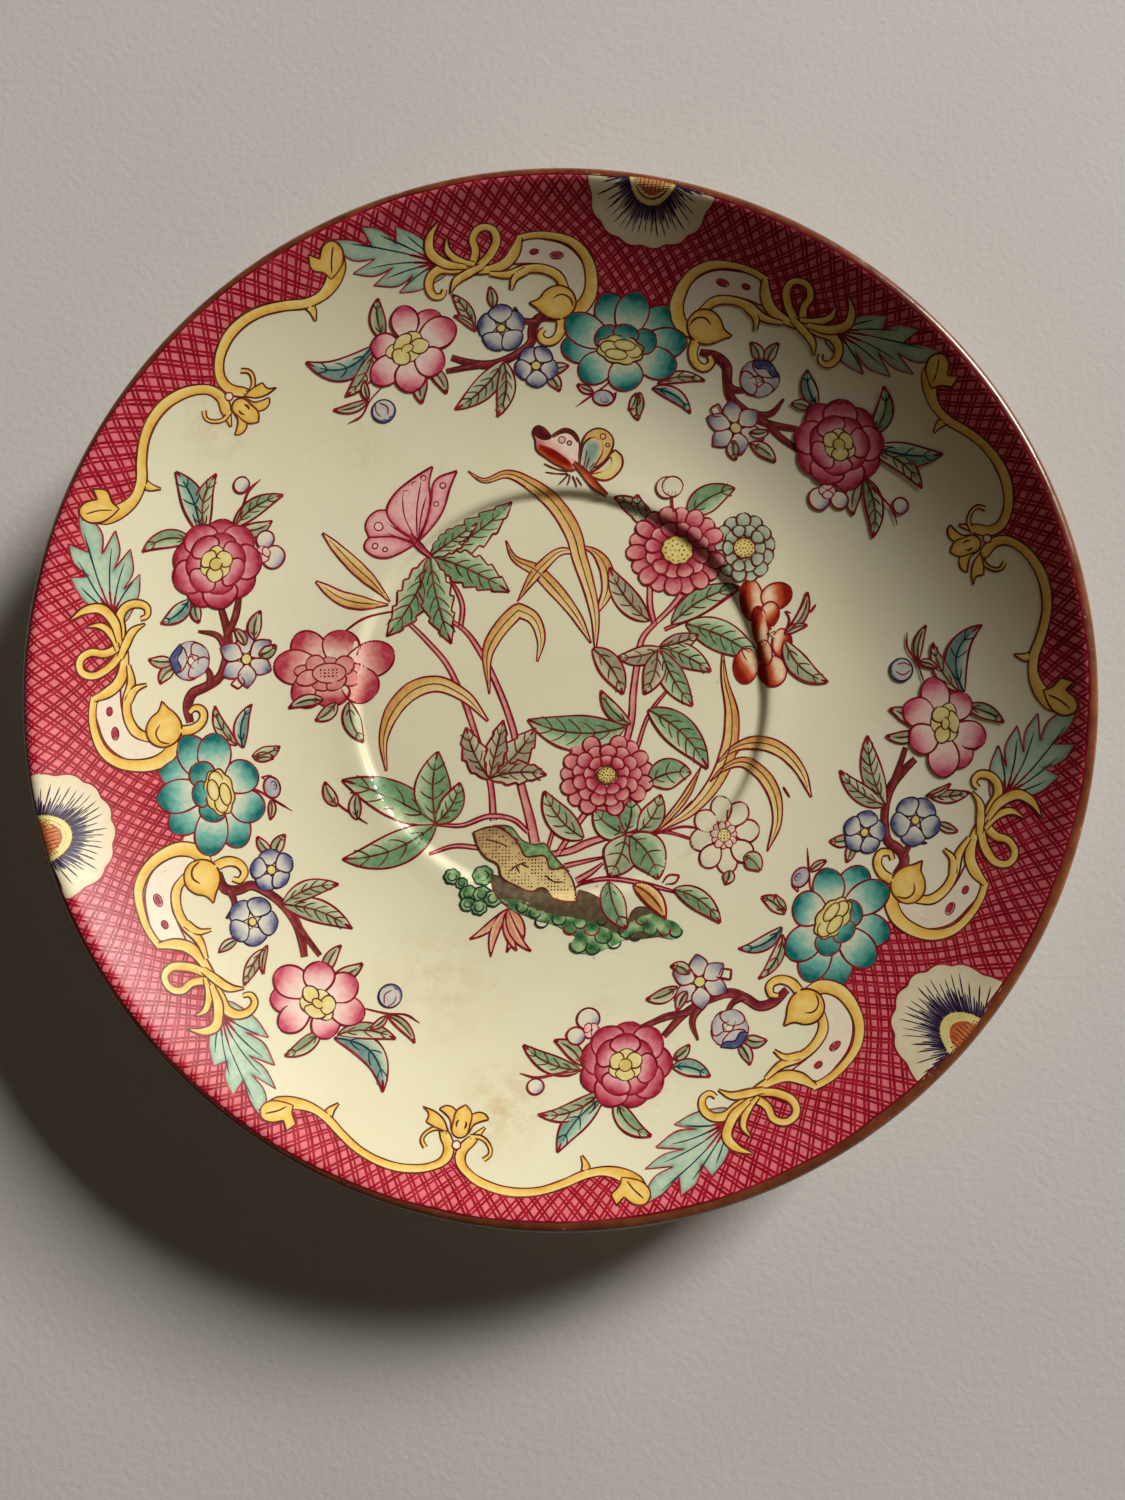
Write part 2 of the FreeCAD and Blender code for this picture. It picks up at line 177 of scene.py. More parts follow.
def plan_middle(r):
    """Sight slope of the plan's centre for drawing at a plan radius."""
    low = np.clip(1 - (np.asarray(r) - WELL_PLAN_RADIUS) / WELL_BLEND, 0, 1.2)
    return RIM_MID + (WELL_MID - RIM_MID) * low[..., None]


def settle(plan):
    """Carries plan points down the lines of sight onto the dish; close to the rim they keep their radius."""
    plan_r = np.hypot(plan[:, 0], plan[:, 1])
    slope = plan_middle(plan_r) + plan @ PLAN_VIEW
    ray = np.column_stack([slope, -np.ones(len(plan))]) @ VIEW.T
    z = np.full(len(plan), 10.0)
    for _ in range(SETTLE_STEPS):
        xy = EYE[:2] + ray[:, :2] * ((z - EYE[2]) / ray[:, 2])[:, None]
        r = np.hypot(xy[:, 0], xy[:, 1])
        z = (z + height(r)) / 2
    keep = np.clip((plan_r - KEEP_FROM) / (RIM_INNER - KEEP_FROM), 0, 1)
    keep = keep * keep * (3 - 2 * keep)
    return xy * ((r + (plan_r - r) * keep) / np.maximum(r, 1e-6))[:, None]


def plan_of(xy):
    """The plan point that settles at a place on the dish."""
    ray = (np.append(xy, height(math.hypot(*xy))) - EYE) @ VIEW
    plan = np.array(xy, float)
    for _ in range(PLAN_STEPS):
        plan = (ray[:2] / -ray[2] - plan_middle(math.hypot(*plan))) @ np.linalg.inv(PLAN_VIEW)
    return plan


# ---------------------------------------------------------------- materials
def srgb(r, g, b):
    """Linear RGBA of an sRGB colour given as 0 to 255."""
    def channel(c):
        c /= 255
        return c / 12.92 if c <= 0.04045 else ((c + 0.055) / 1.055) ** 2.4
    return (channel(r), channel(g), channel(b), 1.0)


def new_material(name):
    """A material with its node tree and its shader."""
    material = bpy.data.materials.new(name)
    material.use_nodes = True
    tree = material.node_tree
    return material, tree, tree.nodes["Principled BSDF"]


def add_node(tree, kind, **settings):
    """A new shader node; each setting is one of its inputs or, failing that, one of its properties."""
    node = tree.nodes.new(kind)
    for name, value in settings.items():
        if name in node.inputs:
            node.inputs[name].default_value = value
        else:
            setattr(node, name, value)
    return node


def noise(tree, coords, scale, detail=3.0, rough=0.55):
    """A cloudy 0..1 pattern; scale is in patches per metre."""
    node = tree.nodes.new("ShaderNodeTexNoise")
    node.inputs["Scale"].default_value = scale
    node.inputs["Detail"].default_value = detail
    node.inputs["Roughness"].default_value = rough
    tree.links.new(coords, node.inputs["Vector"])
    return node.outputs["Fac"]


def maths(tree, operation, a, b, clamp=False):
    """A math node on two numbers or sockets."""
    node = tree.nodes.new("ShaderNodeMath")
    node.operation = operation
    node.use_clamp = clamp
    for socket, value in zip(node.inputs, (a, b)):
        if isinstance(value, (int, float)):
            socket.default_value = value
        else:
            tree.links.new(value, socket)
    return node.outputs[0]


def spread(tree, value, low, high, out_low, out_high):
    """Maps a 0..1 pattern from low..high to out_low..out_high."""
    node = tree.nodes.new("ShaderNodeMapRange")
    for name, number in (("From Min", low), ("From Max", high), ("To Min", out_low), ("To Max", out_high)):
        node.inputs[name].default_value = number
    tree.links.new(value, node.inputs["Value"])
    return node.outputs["Result"]


def ramp(tree, value, stops):
    """Colours by value, through (place, sRGB colour) stops."""
    node = tree.nodes.new("ShaderNodeValToRGB")
    marks = node.color_ramp.elements
    while len(marks) < len(stops):
        marks.new(0.5)
    for mark, (place, colour) in zip(marks, stops):
        mark.position = place
        mark.color = srgb(*colour)
    tree.links.new(value, node.inputs["Fac"])
    return node.outputs["Color"]


def blend_colour(tree, amount, below, above):
    """The colour above laid over the colour below, by amount."""
    node = tree.nodes.new("ShaderNodeMix")
    node.data_type = "RGBA"
    for socket, value in ((node.inputs[0], amount), (node.inputs[6], below), (node.inputs[7], above)):
        if isinstance(value, (int, float, tuple)):
            socket.default_value = value
        else:
            tree.links.new(value, socket)
    return node.outputs[2]


def relief(tree, shader, value, strength, distance):
    """Fine bumps on a material's surface, distance in metres."""
    node = tree.nodes.new("ShaderNodeBump")
    node.inputs["Strength"].default_value = strength
    node.inputs["Distance"].default_value = distance
    tree.links.new(value, node.inputs["Height"])
    tree.links.new(node.outputs["Normal"], shader.inputs["Normal"])


ENAMEL_SCALE = 1100.0               # of the brush and pigment grain
ENAMEL_ROUGHNESS = (0.26, 0.40)


def enamel(name, pale, middle, deep, grain):
    """Brushed colour: the wash attribute goes from pale to deep, broken up by brush and pigment grain."""
    material, tree, shader = new_material(name)
    place = tree.nodes.new("ShaderNodeTexCoord").outputs["Object"]
    wash = add_node(tree, "ShaderNodeAttribute", attribute_name="wash").outputs["Fac"]
    brushed = spread(tree, noise(tree, place, ENAMEL_SCALE), 0.25, 0.75, -grain / 2, grain / 2)
    shade = maths(tree, "ADD", wash, brushed, clamp=True)
    colour = ramp(tree, shade, [(0.0, pale), (0.5, middle), (1.0, deep)])
    tree.links.new(colour, shader.inputs["Base Color"])
    fine = noise(tree, place, ENAMEL_SCALE * 4, 2.0)
    tree.links.new(spread(tree, fine, 0.3, 0.7, *ENAMEL_ROUGHNESS), shader.inputs["Roughness"])
    relief(tree, shader, fine, 0.12, 0.00004)
    shader.inputs["Specular IOR Level"].default_value = 0.18
    return material


# Each colour where it is pale, middling and deep, and how strongly grain breaks it up.
ENAMELS = {
    "ink_crimson": ((168, 52, 62), (140, 18, 36), (96, 8, 22), 0.5),
    "ink_red": ((190, 84, 88), (164, 34, 52), (120, 16, 34), 0.5),
    "ink_trellis": ((188, 46, 64), (162, 20, 42), (130, 8, 28), 0.4),
    "ink_brown": ((142, 78, 52), (104, 44, 30), (62, 24, 20), 0.5),
    "ink_green": ((62, 92, 66), (34, 60, 44), (18, 34, 30), 0.5),
    "ink_teal": ((30, 92, 92), (10, 60, 66), (8, 34, 42), 0.5),
    "ink_blue": ((84, 58, 92), (54, 36, 68), (32, 20, 44), 0.5),
    "pink_wash": ((238, 146, 146), (224, 116, 124), (196, 82, 98), 0.5),
    "turquoise": ((232, 230, 198), (120, 186, 170), (8, 108, 104), 0.25),
    "yellow": ((250, 222, 140), (240, 196, 92), (206, 142, 46), 0.4),
    "straw": ((244, 238, 190), (232, 214, 128), (204, 168, 78), 0.4),
    "panel": ((246, 236, 214), (238, 222, 196), (226, 190, 170), 0.4),
    "rose": ((240, 190, 186), (214, 112, 126), (166, 34, 62), 0.3),
    "crimson": ((236, 172, 160), (196, 82, 98), (142, 24, 50), 0.3),
    "pink": ((248, 224, 208), (236, 164, 164), (200, 74, 104), 0.3),
    "shell": ((248, 228, 208), (232, 160, 150), (186, 60, 78), 0.3),
    "blue": ((232, 226, 202), (188, 188, 188), (78, 84, 126), 0.3),
    "fan_blue": ((230, 224, 206), (108, 98, 132), (34, 32, 72), 0.3),
    "slate": ((216, 216, 186), (174, 186, 160), (124, 144, 132), 0.3),
    "sky": ((214, 220, 192), (166, 186, 164), (100, 134, 132), 0.3),
    "leaf": ((206, 214, 172), (168, 192, 150), (118, 154, 114), 0.45),
    "leaf_deep": ((208, 220, 178), (158, 188, 144), (102, 146, 104), 0.45),
    "leaf_sage": ((210, 214, 178), (186, 196, 158), (144, 160, 126), 0.45),
    "leaf_dusk": ((216, 210, 176), (188, 186, 150), (156, 142, 118), 0.45),
    "acanthus": ((206, 222, 194), (164, 194, 168), (104, 146, 130), 0.4),
    "bark": ((176, 84, 84), (132, 40, 50), (84, 22, 34), 0.45),
    "stem": ((232, 176, 162), (216, 132, 132), (172, 62, 78), 0.4),
    "grass": ((246, 224, 164), (230, 190, 116), (204, 136, 66), 0.4),
    "rust": ((246, 222, 180), (208, 92, 50), (134, 20, 12), 0.2),
    "fan_white": ((240, 230, 200), (228, 214, 178), (196, 174, 138), 0.3),
    "fan_rust": ((222, 140, 84), (196, 98, 52), (150, 60, 32), 0.5),
    "rock": ((240, 218, 154), (214, 184, 124), (160, 126, 92), 0.5),
    "mound": ((134, 116, 88), (96, 82, 62), (64, 58, 42), 0.6),
    "moss": ((176, 200, 148), (94, 142, 90), (40, 90, 54), 0.6),
    "pearl": ((238, 232, 198), (224, 220, 192), (156, 162, 154), 0.2),
}
PAINT = {name: enamel(name, *spec) for name, spec in ENAMELS.items()}


# Age stains on the painted face: x, y and size in mm, and strength.
STAINS = ((-8, -60, 8, 0.50), (12, -55, 9, 0.40), (-18, -43, 12, 0.28), (-51, 38, 7, 0.35),
          (-30, 38, 6, 0.25), (7, -47, 6, 0.20))


def glaze_material(name, stained):
    """Ivory glaze: slow colour drift, pin specks, a few age stains and faint crazing under a clear gloss."""
    material, tree, shader = new_material(name)
    place = tree.nodes.new("ShaderNodeTexCoord").outputs["Object"]
    drift = noise(tree, place, 26, 4.0)
    colour = ramp(tree, drift, [(0.3, (236, 231, 196)), (0.5, (240, 236, 203)), (0.7, (243, 240, 210))])
    cells = add_node(tree, "ShaderNodeTexVoronoi", feature="DISTANCE_TO_EDGE", Scale=150.0)
    tree.links.new(place, cells.inputs["Vector"])
    craze = spread(tree, cells.outputs["Distance"], 0.0, 0.012, 0.10, 0.0)
    colour = blend_colour(tree, craze, colour, srgb(196, 176, 132))
    specks = add_node(tree, "ShaderNodeTexVoronoi", Scale=230.0)
    tree.links.new(place, specks.inputs["Vector"])
    pins = spread(tree, specks.outputs["Distance"], 0.035, 0.075, 0.55, 0.0)
    sparse = spread(tree, noise(tree, place, 95, 1.0), 0.60, 0.66, 0.0, 1.0)
    colour = blend_colour(tree, maths(tree, "MULTIPLY", pins, sparse), colour, srgb(120, 88, 58))
    for x, y, size, strength in STAINS if stained else ():
        gap = tree.nodes.new("ShaderNodeVectorMath")
        gap.operation = "DISTANCE"
        tree.links.new(place, gap.inputs[0])
        gap.inputs[1].default_value = (x * MM, y * MM, float(height(math.hypot(x, y))) * MM)
        near = spread(tree, gap.outputs["Value"], 0.0, size * MM, strength, 0.0)
        blotch = spread(tree, noise(tree, place, 420, 5.0, 0.7), 0.42, 0.62, 0.0, 1.0)
        colour = blend_colour(tree, maths(tree, "MULTIPLY", near, blotch), colour, srgb(206, 170, 104))
    tree.links.new(colour, shader.inputs["Base Color"])
    sheen = noise(tree, place, 70, 3.0)
    tree.links.new(spread(tree, sheen, 0.3, 0.7, 0.11, 0.19), shader.inputs["Roughness"])
    relief(tree, shader, noise(tree, place, 120, 2.0), 0.18, 0.00012)
    shader.inputs["Subsurface Weight"].default_value = 0.12
    shader.inputs["Subsurface Radius"].default_value = (1.0, 0.7, 0.4)
    shader.inputs["Subsurface Scale"].default_value = 0.0015
    shader.inputs["Coat Weight"].default_value = 0.35
    shader.inputs["Coat Roughness"].default_value = 0.05
    return material


def biscuit_material():
    """Bare fired clay of the foot: matt, gritty, browned where it has stood."""
    material, tree, shader = new_material("bare_clay")
    place = tree.nodes.new("ShaderNodeTexCoord").outputs["Object"]
    grit = noise(tree, place, 1800, 4.0, 0.7)
    colour = ramp(tree, grit, [(0.3, (198, 182, 148)), (0.52, (226, 214, 184)), (0.75, (238, 230, 206))])
    worn = spread(tree, noise(tree, place, 160, 5.0), 0.48, 0.70, 0.0, 0.6)
    colour = blend_colour(tree, worn, colour, srgb(150, 122, 84))
    tree.links.new(colour, shader.inputs["Base Color"])
    tree.links.new(spread(tree, grit, 0.3, 0.7, 0.62, 0.85), shader.inputs["Roughness"])
    relief(tree, shader, grit, 0.5, 0.00008)
    return material


def rim_material():
    """The rim band's red-brown, laid on with a brush, thin and rubbed in places."""
    material, tree, shader = new_material("rim_brown")
    place = tree.nodes.new("ShaderNodeTexCoord").outputs["Object"]
    wash = add_node(tree, "ShaderNodeAttribute", attribute_name="wash").outputs["Fac"]
    streak = spread(tree, noise(tree, place, 260, 5.0, 0.65), 0.3, 0.7, -0.32, 0.32)
    shade = maths(tree, "ADD", wash, streak, clamp=True)
    colour = ramp(tree, shade, [(0.0, (158, 98, 56)), (0.4, (128, 70, 38)), (1.0, (84, 38, 22))])
    chips = spread(tree, noise(tree, place, 900, 4.0, 0.7), 0.66, 0.72, 0.0, 0.8)
    colour = blend_colour(tree, chips, colour, srgb(224, 196, 150))
    tree.links.new(colour, shader.inputs["Base Color"])
    tree.links.new(spread(tree, noise(tree, place, 500, 3.0), 0.3, 0.7, 0.16, 0.34),
                   shader.inputs["Roughness"])
    relief(tree, shader, noise(tree, place, 700, 3.0), 0.3, 0.00008)
    return material


PAINT["rim_brown"] = rim_material()


# ---------------------------------------------------------------- turned pieces
def shade_and_ride(obj, nodes, sharp=None):
    """Shades a piece smooth, puts it in the scene under the root body and hides the CAD nodes it stands in
    for.
    """
    for polygon in obj.data.polygons:
        polygon.use_smooth = True
    if sharp is not None:
        obj.data.set_sharp_from_angle(angle=math.radians(sharp))
    bpy.context.scene.collection.objects.link(obj)
    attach(obj, "root")
    if nodes:
        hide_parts(*nodes)


def turned(name, path, node, material, segments):
    """Revolves a (radius, height) path in mm. An end on the axis closes to a single point."""
    path = np.array(path, float)
    angle = np.arange(segments) * TAU / segments
    verts, faces, rings = [], [], []
    for r, z in path:
        start = len(verts)
        if r < 1e-6:
            verts.append((0.0, 0.0, z * MM))
            rings.append([start] * segments)
        else:
            verts.extend(zip(r * MM * np.cos(angle), r * MM * np.sin(angle), [z * MM] * segments))
            rings.append(list(range(start, start + segments)))
    for a, b in zip(rings, rings[1:]):
        for i in range(segments):
            j = (i + 1) % segments
            quad = (a[i], b[i], b[j], a[j])
            faces.append(tuple(dict.fromkeys(quad)))
    mesh = bpy.data.meshes.new(name)
    mesh.from_pydata(verts, [], faces)
    mesh.materials.append(material)
    shade_and_ride(bpy.data.objects.new(name, mesh), [node], SKIN_CREASE)


def flat_disc(radius, z, rings):
    """Path points from the axis outwards at one height, in equal steps that stop short of the radius."""
    return [(radius * i / rings, z) for i in range(rings)]


def make_body():
    """The glazed skin, the clay under it and the glazed recess inside the foot, from the CAD's outlines."""
    skin = flat_disc(GLAZE_OUTER[0][0], FLOOR_Z, 22) + [tuple(q) for q in SKIN]
    skin.append((GLAZE_OUTER[-1][0] - SKIN_TURN_IN, GLAZE_OUTER[-1][1]))
    turned("glazed_skin", skin[::-1], "glaze_coat", glaze_material("ivory_glaze", True), SEGMENTS)
    body = [tuple(q) for q in refine(seam_path("biscuit_body"), 1.4, turn=SMOOTH_TURN)]
    closed = flat_disc(body[0][0], body[0][1], 1) + body + [(0.0, body[-1][1])]
    turned("clay_body", closed[::-1], "biscuit_body", biscuit_material(), UNDER_SEGMENTS)
    recess = seam_path("foot_glaze")
    turn_point = recess.index(min(recess, key=lambda q: (q[1], q[0])))
    under = [tuple(q) for q in refine(recess[turn_point:], 0.5, turn=SMOOTH_TURN)]
    under += flat_disc(under[-1][0], under[-1][1], 14)[::-1]
    turned("recess_glaze", under, "foot_glaze", glaze_material("foot_glaze_ivory", False),
           UNDER_SEGMENTS)


# ---------------------------------------------------------------- the painter
def wander(count, swing, span):
    """A smooth seeded wobble with the given swing, turning over about every span points."""
    knots = max(2, int(count / span) + 2)
    values = [rng.uniform(-swing, swing) for _ in range(knots)]
    return np.interp(np.linspace(0, knots - 1, count), range(knots), values)


def even(path, step=STEP):
    """The same curve with points spaced evenly by about step."""
    d = np.hypot(*np.diff(path, axis=0).T)
    along = np.concatenate([[0], np.cumsum(d)])
    count = max(2, int(round(along[-1] / step)) + 1)
    at = np.linspace(0, along[-1], count)
    return np.column_stack([np.interp(at, along, path[:, k]) for k in (0, 1)])


def normals(path):
    """Unit vectors to the left of a path, one at each point."""
    t = np.gradient(path, axis=0)
    t /= np.maximum(np.hypot(t[:, 0], t[:, 1]), 1e-9)[:, None]
    return np.column_stack([-t[:, 1], t[:, 0]])


def inside(points, ring):
    """Which points lie within a closed ring."""
    x, y = points[:, 0][:, None], points[:, 1][:, None]
    x0, y0 = ring[:, 0][None], ring[:, 1][None]
    x1, y1 = np.roll(ring[:, 0], -1)[None], np.roll(ring[:, 1], -1)[None]
    rise = np.where(y1 == y0, 1e-12, y1 - y0)
    crosses = ((y0 > y) != (y1 > y)) & (x < (x1 - x0) * (y - y0) / rise + x0)
    return crosses.sum(1) % 2 == 1


def edge_distance(points, ring):
    """Distance from each point to a closed ring."""
    a, d = ring[None], (np.roll(ring, -1, axis=0) - ring)[None]
    size = np.maximum((d**2).sum(2), 1e-12)
    out = np.empty(len(points))
    for start in range(0, len(points), 400):
        p = points[start:start + 400][:, None]
        t = np.clip(((p - a) * d).sum(2) / size, 0, 1)[..., None]
        out[start:start + 400] = np.sqrt((((a + t * d) - p) ** 2).sum(2)).min(1)
    return out


class Piece:
    """One painted piece: patches, strips and lines collected into a single mesh that lies on the glaze."""

    def __init__(self, name, slot, *nodes, level=BASE_LIFT):
        self.name, self.slot, self.nodes = name, slot, nodes
        self.points, self.washes, self.faces, self.paints = [], [], [], []
        self.count, self.level = 0, level

    def add(self, xy, lift, faces, paint, wash):
        """Lays plan points and the faces between them on the dish, lifted off the glaze."""
        xy = settle(xy)
        z = height(np.hypot(xy[:, 0], xy[:, 1])) + lift * RELIEF
        self.points.append(np.column_stack([xy, z]))
        self.washes.append(np.clip(np.broadcast_to(wash, len(xy)), 0, 1))
        self.faces.extend(tuple(i + self.count for i in face) for face in faces)
        self.paints.extend([paint] * len(faces))
        self.count += len(xy)

    def grid(self, rows, columns, xy, lift, paint, wash):
        """Lays a sheet of rows by columns points."""
        faces = [(i * columns + j, (i + 1) * columns + j, (i + 1) * columns + j + 1, i * columns + j + 1)
                 for i in range(rows - 1) for j in range(columns - 1)]
        self.add(xy, lift, faces, paint, wash)

    def up(self, layers=1):
        """What is laid from now on lies over what is there."""
        self.level += LAYER * layers

    def build(self):
        mesh = bpy.data.meshes.new(self.name)
        points = np.vstack(self.points) * MM
        mesh.from_pydata(points.tolist(), [], self.faces)
        used = list(dict.fromkeys(self.paints))
        for paint in used:
            mesh.materials.append(PAINT[paint])
        index = {paint: i for i, paint in enumerate(used)}
        mesh.polygons.foreach_set("material_index", [index[p] for p in self.paints])
        wash = mesh.attributes.new("wash", "FLOAT", "POINT")
        wash.data.foreach_set("value", np.concatenate(self.washes).astype(np.float32))
        turn_up(mesh)
        shade_and_ride(bpy.data.objects.new(self.name, mesh), self.nodes)


def turn_up(mesh):
    """Faces wound the wrong way are turned to face up, away from the glaze."""
    count = len(mesh.polygons)
    normal = np.zeros(count * 3)
    mesh.polygons.foreach_get("normal", normal)
    down = normal.reshape(-1, 3)[:, 2] < 0
    for i in np.nonzero(down)[0]:
        mesh.polygons[int(i)].flip()
    mesh.update()


def ink(piece, path, width, paint="ink_crimson", ends=(0.45, 0.45), lift=0.0, smooth=True, wash=0.5):
    """A printed or brushed line along a path, swelling and thinning a little as it goes."""
    path = np.array(path, float)
    path = even(refine(path, STEP)) if smooth else path
    n = len(path)
    path = path + normals(path) * wander(n, 0.045, 9)[:, None]
    s = np.linspace(0, 1, n)
    body = np.minimum(1, ends[0] + (1 - ends[0]) * s / 0.18)
    body = body * np.minimum(1, ends[1] + (1 - ends[1]) * (1 - s) / 0.18)
    half = width / 2 * body * (1 + wander(n, 0.22, 6))
    across = normals(path) * half[:, None]
    xy = np.stack([path + across, path, path - across], axis=1).reshape(-1, 2)
    rise = piece.level + INK_LIFT + lift + rng.uniform(0, 0.004) + np.tile([0.0, 0.006, 0.0], n)
    piece.grid(n, 3, xy, rise, paint, np.repeat(wash + wander(n, 0.35, 7), 3))


def ribbon(piece, spine, half, paint, wash, edge, edge_width, dome=DOME, across=5):
    """Colour to half a width either side of a spine, outlined. wash is called with s along and c across."""
    n = len(spine)
    side = normals(spine)
    lanes = np.linspace(-1, 1, across)
    reach = half[:, None] * lanes[None]
    xy = (spine[:, None] + side[:, None] * reach[..., None]).reshape(-1, 2)
    s = np.repeat(np.linspace(0, 1, n), across)
    c = np.tile(lanes, n)
    swell = np.minimum(1, np.repeat(2 * half, across) / 1.2)
    piece.grid(n, across, xy, piece.level + dome * (1 - c**2) * swell, paint, wash(s, c))
    for hand in (1, -1):
        ink(piece, even(spine + side * hand * half[:, None]), edge_width, edge, (0.7, 0.9), smooth=False)
    piece.up()


def patch(piece, outline, paint, wash, edge="ink_crimson", edge_width=INK, grid=0.5, dome=DOME, smooth=True):
    """A freehand patch inside a closed outline. wash is one tone, or called with points and their depth."""
    ring = refine(outline, STEP, closed=True) if smooth else np.array(outline, float)
    low, high = ring.min(0), ring.max(0)
    xs, ys = np.arange(low[0] + grid / 2, high[0], grid), np.arange(low[1] + grid / 2, high[1], grid * 0.87)
    gx, gy = np.meshgrid(xs, ys)
    gx = gx + (np.arange(len(ys)) % 2)[:, None] * grid / 2
    seeds = np.column_stack([gx.ravel(), gy.ravel()])
    seeds = seeds[inside(seeds, ring)] if len(seeds) else seeds
    if len(seeds):
        seeds = seeds[edge_distance(seeds, ring) > grid * 0.4]
    verts = [Vector(p) for p in np.vstack([ring, seeds])]
    corners, _, faces = delaunay_2d_cdt(verts, [], [list(range(len(ring)))], 1, 1e-5)[:3]
    xy = np.array([tuple(v) for v in corners])
    depth = edge_distance(xy, ring)
    tone = wash(xy, depth) if callable(wash) else np.full(len(xy), wash)
    piece.add(xy, piece.level + dome * (1 - np.exp(-depth / 0.4)), faces, paint, tone)
    if edge:
        loop = even(np.vstack([ring, ring[:1]]))
        ink(piece, loop, edge_width, edge, (0.9, 0.9), smooth=False)
    piece.up()


class Pen:
    """Turns drawing coordinates into saucer coordinates. This one is plain millimetres about a centre."""

    def __init__(self, centre=(0.0, 0.0), right=(1.0, 0.0), up=(0.0, 1.0)):
        self.centre, self.right, self.upward = (np.array(v, float) for v in (centre, right, up))
        self.flip = 1 if self.right[0] * self.upward[1] - self.right[1] * self.upward[0] > 0 else -1

    def xy(self, points):
        p = np.atleast_2d(np.array(points, float))
        return self.centre + p[:, :1] * self.right + p[:, 1:2] * self.upward

    def at(self, point, scale=1.0, turn=0.0):
        """A pen in millimetres about a point, scaled and turned by degrees within the drawing."""
        c, s = math.cos(math.radians(turn)) * scale, math.sin(math.radians(turn)) * scale
        right, upward = self.axes(point)
        return Pen(self.xy(point)[0], right * c + upward * s, upward * c - right * s)

    def axes(self, point):
        """The directions that are right and up at a point of the drawing."""
        return self.right, self.upward


class RimPen(Pen):
    """Drawing coordinates of one half of a border repeat: 0 to 60 degrees from the flower, and the radius."""

    def __init__(self, axis, span, side):
        self.axis, self.scale, self.flip = axis, span / 60, side

    def xy(self, points):
        p = np.atleast_2d(np.array(points, float))
        angle = np.radians(self.axis + self.flip * self.scale * p[:, 0])
        return np.column_stack([p[:, 1] * np.cos(angle), p[:, 1] * np.sin(angle)])

    def axes(self, point):
        angle = math.radians(self.axis + self.flip * self.scale * point[0])
        return (np.array([-math.sin(angle), math.cos(angle)]) * self.flip,
                np.array([math.cos(angle), math.sin(angle)]))


# ---------------------------------------------------------------- motifs
def bowed(a, b, bend, places):
    """Points at places from 0 to 1 on the way from a to b, bowed sideways by bend times the distance."""
    a, b = np.array(a, float), np.array(b, float)
    side = np.array([-(b - a)[1], (b - a)[0]])
    return a + (b - a) * places[:, None] + side * (bend * 4 * places * (1 - places))[:, None]


def fade(edge, drop, reach=1.0):
    """Washes a patch from one tone at its edge to another, lower by drop, at a depth of reach mm."""
    return lambda points, depth: edge - drop * np.clip(depth, 0, reach)


def petal(piece, pen, base, tip, width, paint, wash, shape, bend, edge, edge_width):
    """A rounded petal. wash is its tone at base and tip and how the one turns to the other."""
    a, b = pen.xy([base, tip])
    size = max(0.4, math.dist(a, b))
    n = max(8, int(size / STEP) + 4)
    s = (1 - np.cos(np.linspace(0, math.pi, n))) / 2
    spine = bowed(a, b, pen.flip * bend, s)
    half = width / 2 * np.sin(np.pi * s ** shape[0]).clip(0) ** shape[1]
    half = np.maximum(half, 0.02)
    tone = lambda t, c: wash[0] + (wash[1] - wash[0]) * np.interp(t, np.linspace(0, 1, n), s) ** wash[2]
    ribbon(piece, spine, half, paint, tone, edge, edge_width)


VEIN_INKS = {"sky": "ink_teal", "acanthus": "ink_teal"}
MIDRIB_INK, SIDE_VEIN_INK, TIP_INK = 0.28, 0.20, 0.34
MIDRIB_END = 0.86                   # how far along the leaf the midrib runs
VEIN_START, VEIN_SPAN = 0.16, 0.56  # where the side veins leave it
VEIN_REACH, VEIN_LEAN = 0.72, 0.16  # how far they go, of the half width and of the leaf's length
VEIN_PLACES = np.linspace(0, 1, 5)
LEAF_SHAPE = 0.85                   # both powers in the outline of a leaf


def leaf(piece, pen, base, tip, width, paint, bend, veins, vein="ink_brown", wash=(0.42, 0.42),
         teeth=0):
    """A pointed leaf with a midrib and side veins; one half is washed deeper than the other."""
    a, b = pen.xy([base, tip])
    size = max(0.6, math.dist(a, b))
    n = max(9, int(size / STEP) + 3)
    s = np.linspace(0, 1, n)
    spine = bowed(a, b, pen.flip * bend, s)
    half = width / 2 * np.sin(np.pi * s ** LEAF_SHAPE).clip(0) ** LEAF_SHAPE
    half = np.maximum(half * (1 - 0.3 * (s * teeth % 1)), 0.03)
    deep = rng.choice((-1, 1))
    tone = lambda t, c: (wash[0] + wash[1] * np.clip(0.75 + 2.0 * deep * c, -1, 1)
                         + 0.2 * (1 - t) * (1 - abs(c)))
    ribbon(piece, spine, half, paint, tone, "ink_crimson", INK)
    if vein:
        last = int(n * MIDRIB_END)
        ink(piece, spine[:last], MIDRIB_INK, vein, (1.0, 0.4), lift=DOME, smooth=False)
        cross = normals(spine)
        for k in range(veins):
            i = int(n * (VEIN_START + VEIN_SPAN * k / max(1, veins - 1)))
            reach = half[i] * VEIN_REACH
            ahead = spine[min(n - 1, i + max(1, int(VEIN_LEAN * n)))] - spine[i]
            for hand in (-1, 1):
                end = spine[i] + ahead + cross[i] * hand * reach
                ink(piece, bowed(spine[i], end, 0.08 * hand, VEIN_PLACES), SIDE_VEIN_INK, vein, (1.0, 0.4),
                    lift=DOME, smooth=False)
    ink(piece, spine[-max(3, n // 6):], TIP_INK, "ink_crimson", (0.5, 0.8), lift=0.01, smooth=False)


